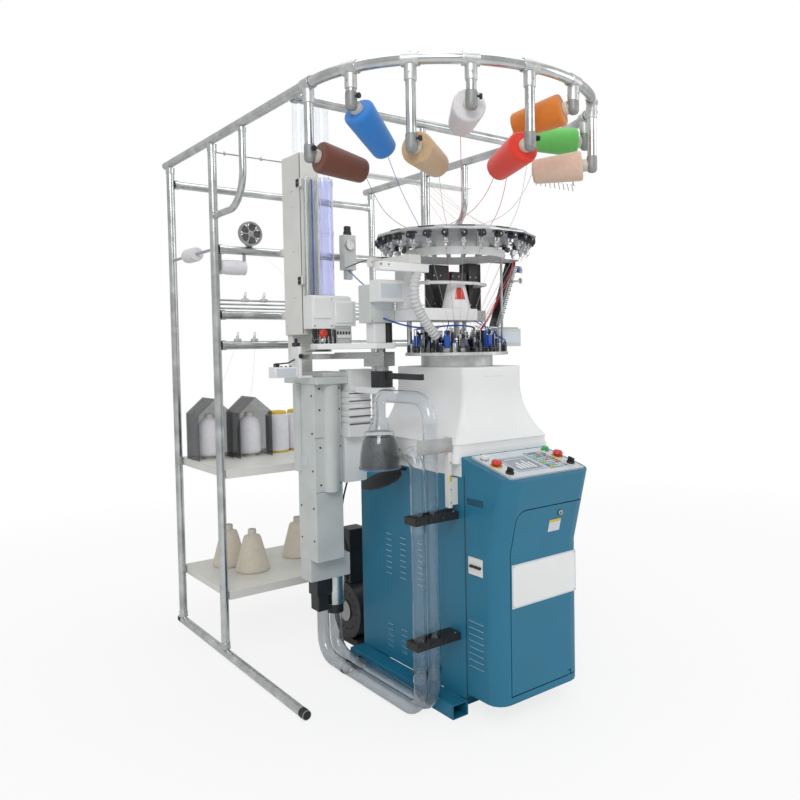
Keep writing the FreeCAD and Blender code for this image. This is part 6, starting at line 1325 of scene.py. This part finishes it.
def air():
    dress("air_units", [GREY, BLACK], lambda c, s: 0 if c.z > 1700 else 1, bevel=3.0, sharp=35, slot="black_paint")
    b = Batch()
    # the air unit's gauge and its black cap
    gauge_x, gauge_z, rail = -48, 1880, RAIL_Y - FLAT
    b.lathe([(0, 0), (24, 0), (26, 2), (26, 8), (24, 10), (22, 9), (0, 9)], (gauge_x, rail - 46, gauge_z), FRONT, 36, 0)
    b.lathe([(0, 9.2), (21.5, 9.2)], (gauge_x, rail - 46, gauge_z), FRONT, 32, 1)
    b.box(gauge_x - 0.6, gauge_x + 0.6, rail - 55.8, rail - 55.2, gauge_z, gauge_z + 16, 0.2, 2)
    for k in range(9):
        dx, dz = polar(17.5, 225 - 270 * k / 8)
        x, z = gauge_x + dx, gauge_z + dz
        b.box(x - 0.6, x + 0.6, rail - 55.6, rail - 55.3, z - 2, z + 2, 0.1, 2)
    b.lathe([(0, 0), (20, 0), (20, 14), (17, 20), (17, 40), (14, 44), (0, 44)], (gauge_x, rail - 23, 1930), UP, 30, 2)
    # screws and lid of the blower
    for k in range(16):
        dy, dz = polar(88, 22.5 * k)
        b.box(-212, -209.5, 595 + dy, 605 + dy, 155 + dz, 165 + dz, 1, 2)
    b.lathe([(0, 0), (46, 0), (48, 3), (48, 6), (0, 7)], (-210, 600, 160), LEFT, 36, 0)
    b.make("air_trim", [STEEL, BUTTON_WHITE, BLACK])


station()
linking()
linking_trim()
clear_parts()
brackets()
air()


# ---- threads and air lines --------------------------------------------------
def threads():
    # from each package to the feeder plate: colour, eyelet's place round the plate, and sag
    runs = ((T_BROWN, 190, 70), (T_BLUE, 205, 25), (T_WHITE, 222, 45), (T_RED, 240, 30), (T_RED, 228, 90),
            (T_RED, 262, 110), (T_WHITE, 250, 100), (T_WHITE, 285, 90))
    for i, (mat, around, drop) in enumerate(runs):
        _, _, way, face = holder_axes(i)
        tip = face + way * 206
        eyelet = round(around / 360 * CHANNELS - 0.5) + 0.5
        end = Vector((*polar(EYELET_R, 360 * eyelet / CHANNELS), PLATE_TOP + 1))
        mid = tip.lerp(end, 0.55)
        low = max(PLATE_TOP + 20, mid.z - drop)
        strand("package_thread_%d" % i, [tuple(tip), tuple(tip.lerp(end, 0.12) - Vector((0, 0, drop * 0.5))),
                                         (mid.x, mid.y, low), tuple(end)], mat, 2.0)
    for k in range(14, 29):
        a = 360 * (k + 0.5) / CHANNELS
        strand("feed_thread_%d" % k, [(*polar(293, a), 1762), (*polar(66, a + 4), 1412)],
               (T_WHITE, T_RED, T_WHITE, T_BROWN)[k % 4], 1.0)
    # air tubes that hang from the platform's underside to the valve heads
    for k in (1, 7, 8):
        a = 196 + 17 * k
        strand("air_tube_%d" % k, [(*polar(50 + 24 * (k % 3), a - 6), 1487), (*polar(150, a + 5), 1440),
                                   (*polar(VALVE_R, 15 * round((a - 4) / 15) + 4), 1404)], BLUE, 4, declared=False)
    for k in range(6):
        strand("comb_thread_%d" % k, [(300 + k * 1.5, -30 - k * 2, 1752), (150, -42 - k * 3, 1500 - k * 2),
                                      (70, -26 - k, 1412)], T_RED, 1.4)
    for k in range(7):
        x, y = polar(200, 200 + k * 22)
        strand("strip_thread_%d" % k, [(-120 + k * 26, 140, 2065), (x * 0.6, 60, 1990 - 10 * k), (x, y, PLATE_TOP + 3)],
               (T_WHITE, T_RED, T_BROWN)[k % 3], 0.9, declared=False)
    strand("shelf_thread_0", [(-586, 1250, 1064), (-570, 1000, 1300), (-600, 829, 1440)], T_WHITE, 0.9)
    strand("shelf_thread_1", [(-402, 1200, 1064), (-450, 1000, 1300), (-520, 829, 1440)], T_WHITE, 0.9)
    strand("wheel_thread", [(-535, 812, 1846), (-480, 700, 1760), (-440, 664, 1700)], T_WHITE, 0.9)
    # blue air lines, and black leads to the head and the blower
    for name, mat, thick, points in (
            ("air_line_0", BLUE, 7, [(-262, 148, 1500), (-200, 40, 1450), (-90, -90, 1468), (40, -80, 1460),
                                     (60, -40, 1452)]),
            ("air_line_1", BLUE, 6, [(-48, 790, 1760), (-100, 600, 1690), (-250, 300, 1640), (-240, 242, 1600)]),
            ("lead_0", RUBBER, 5, [(-60, 800, 1770), (-200, 500, 1750), (-330, 120, 1740), (-280, 60, 1738)]),
            ("lead_1", RUBBER, 8, [(-300, 432, 880), (-330, 520, 700), (-270, 560, 500), (-200, 600, 300)]),
            ("lead_2", RUBBER, 8, [(-260, 432, 860), (-280, 540, 640), (-200, 580, 420), (-150, 600, 300)])):
        strand(name, points, mat, thick)


threads()
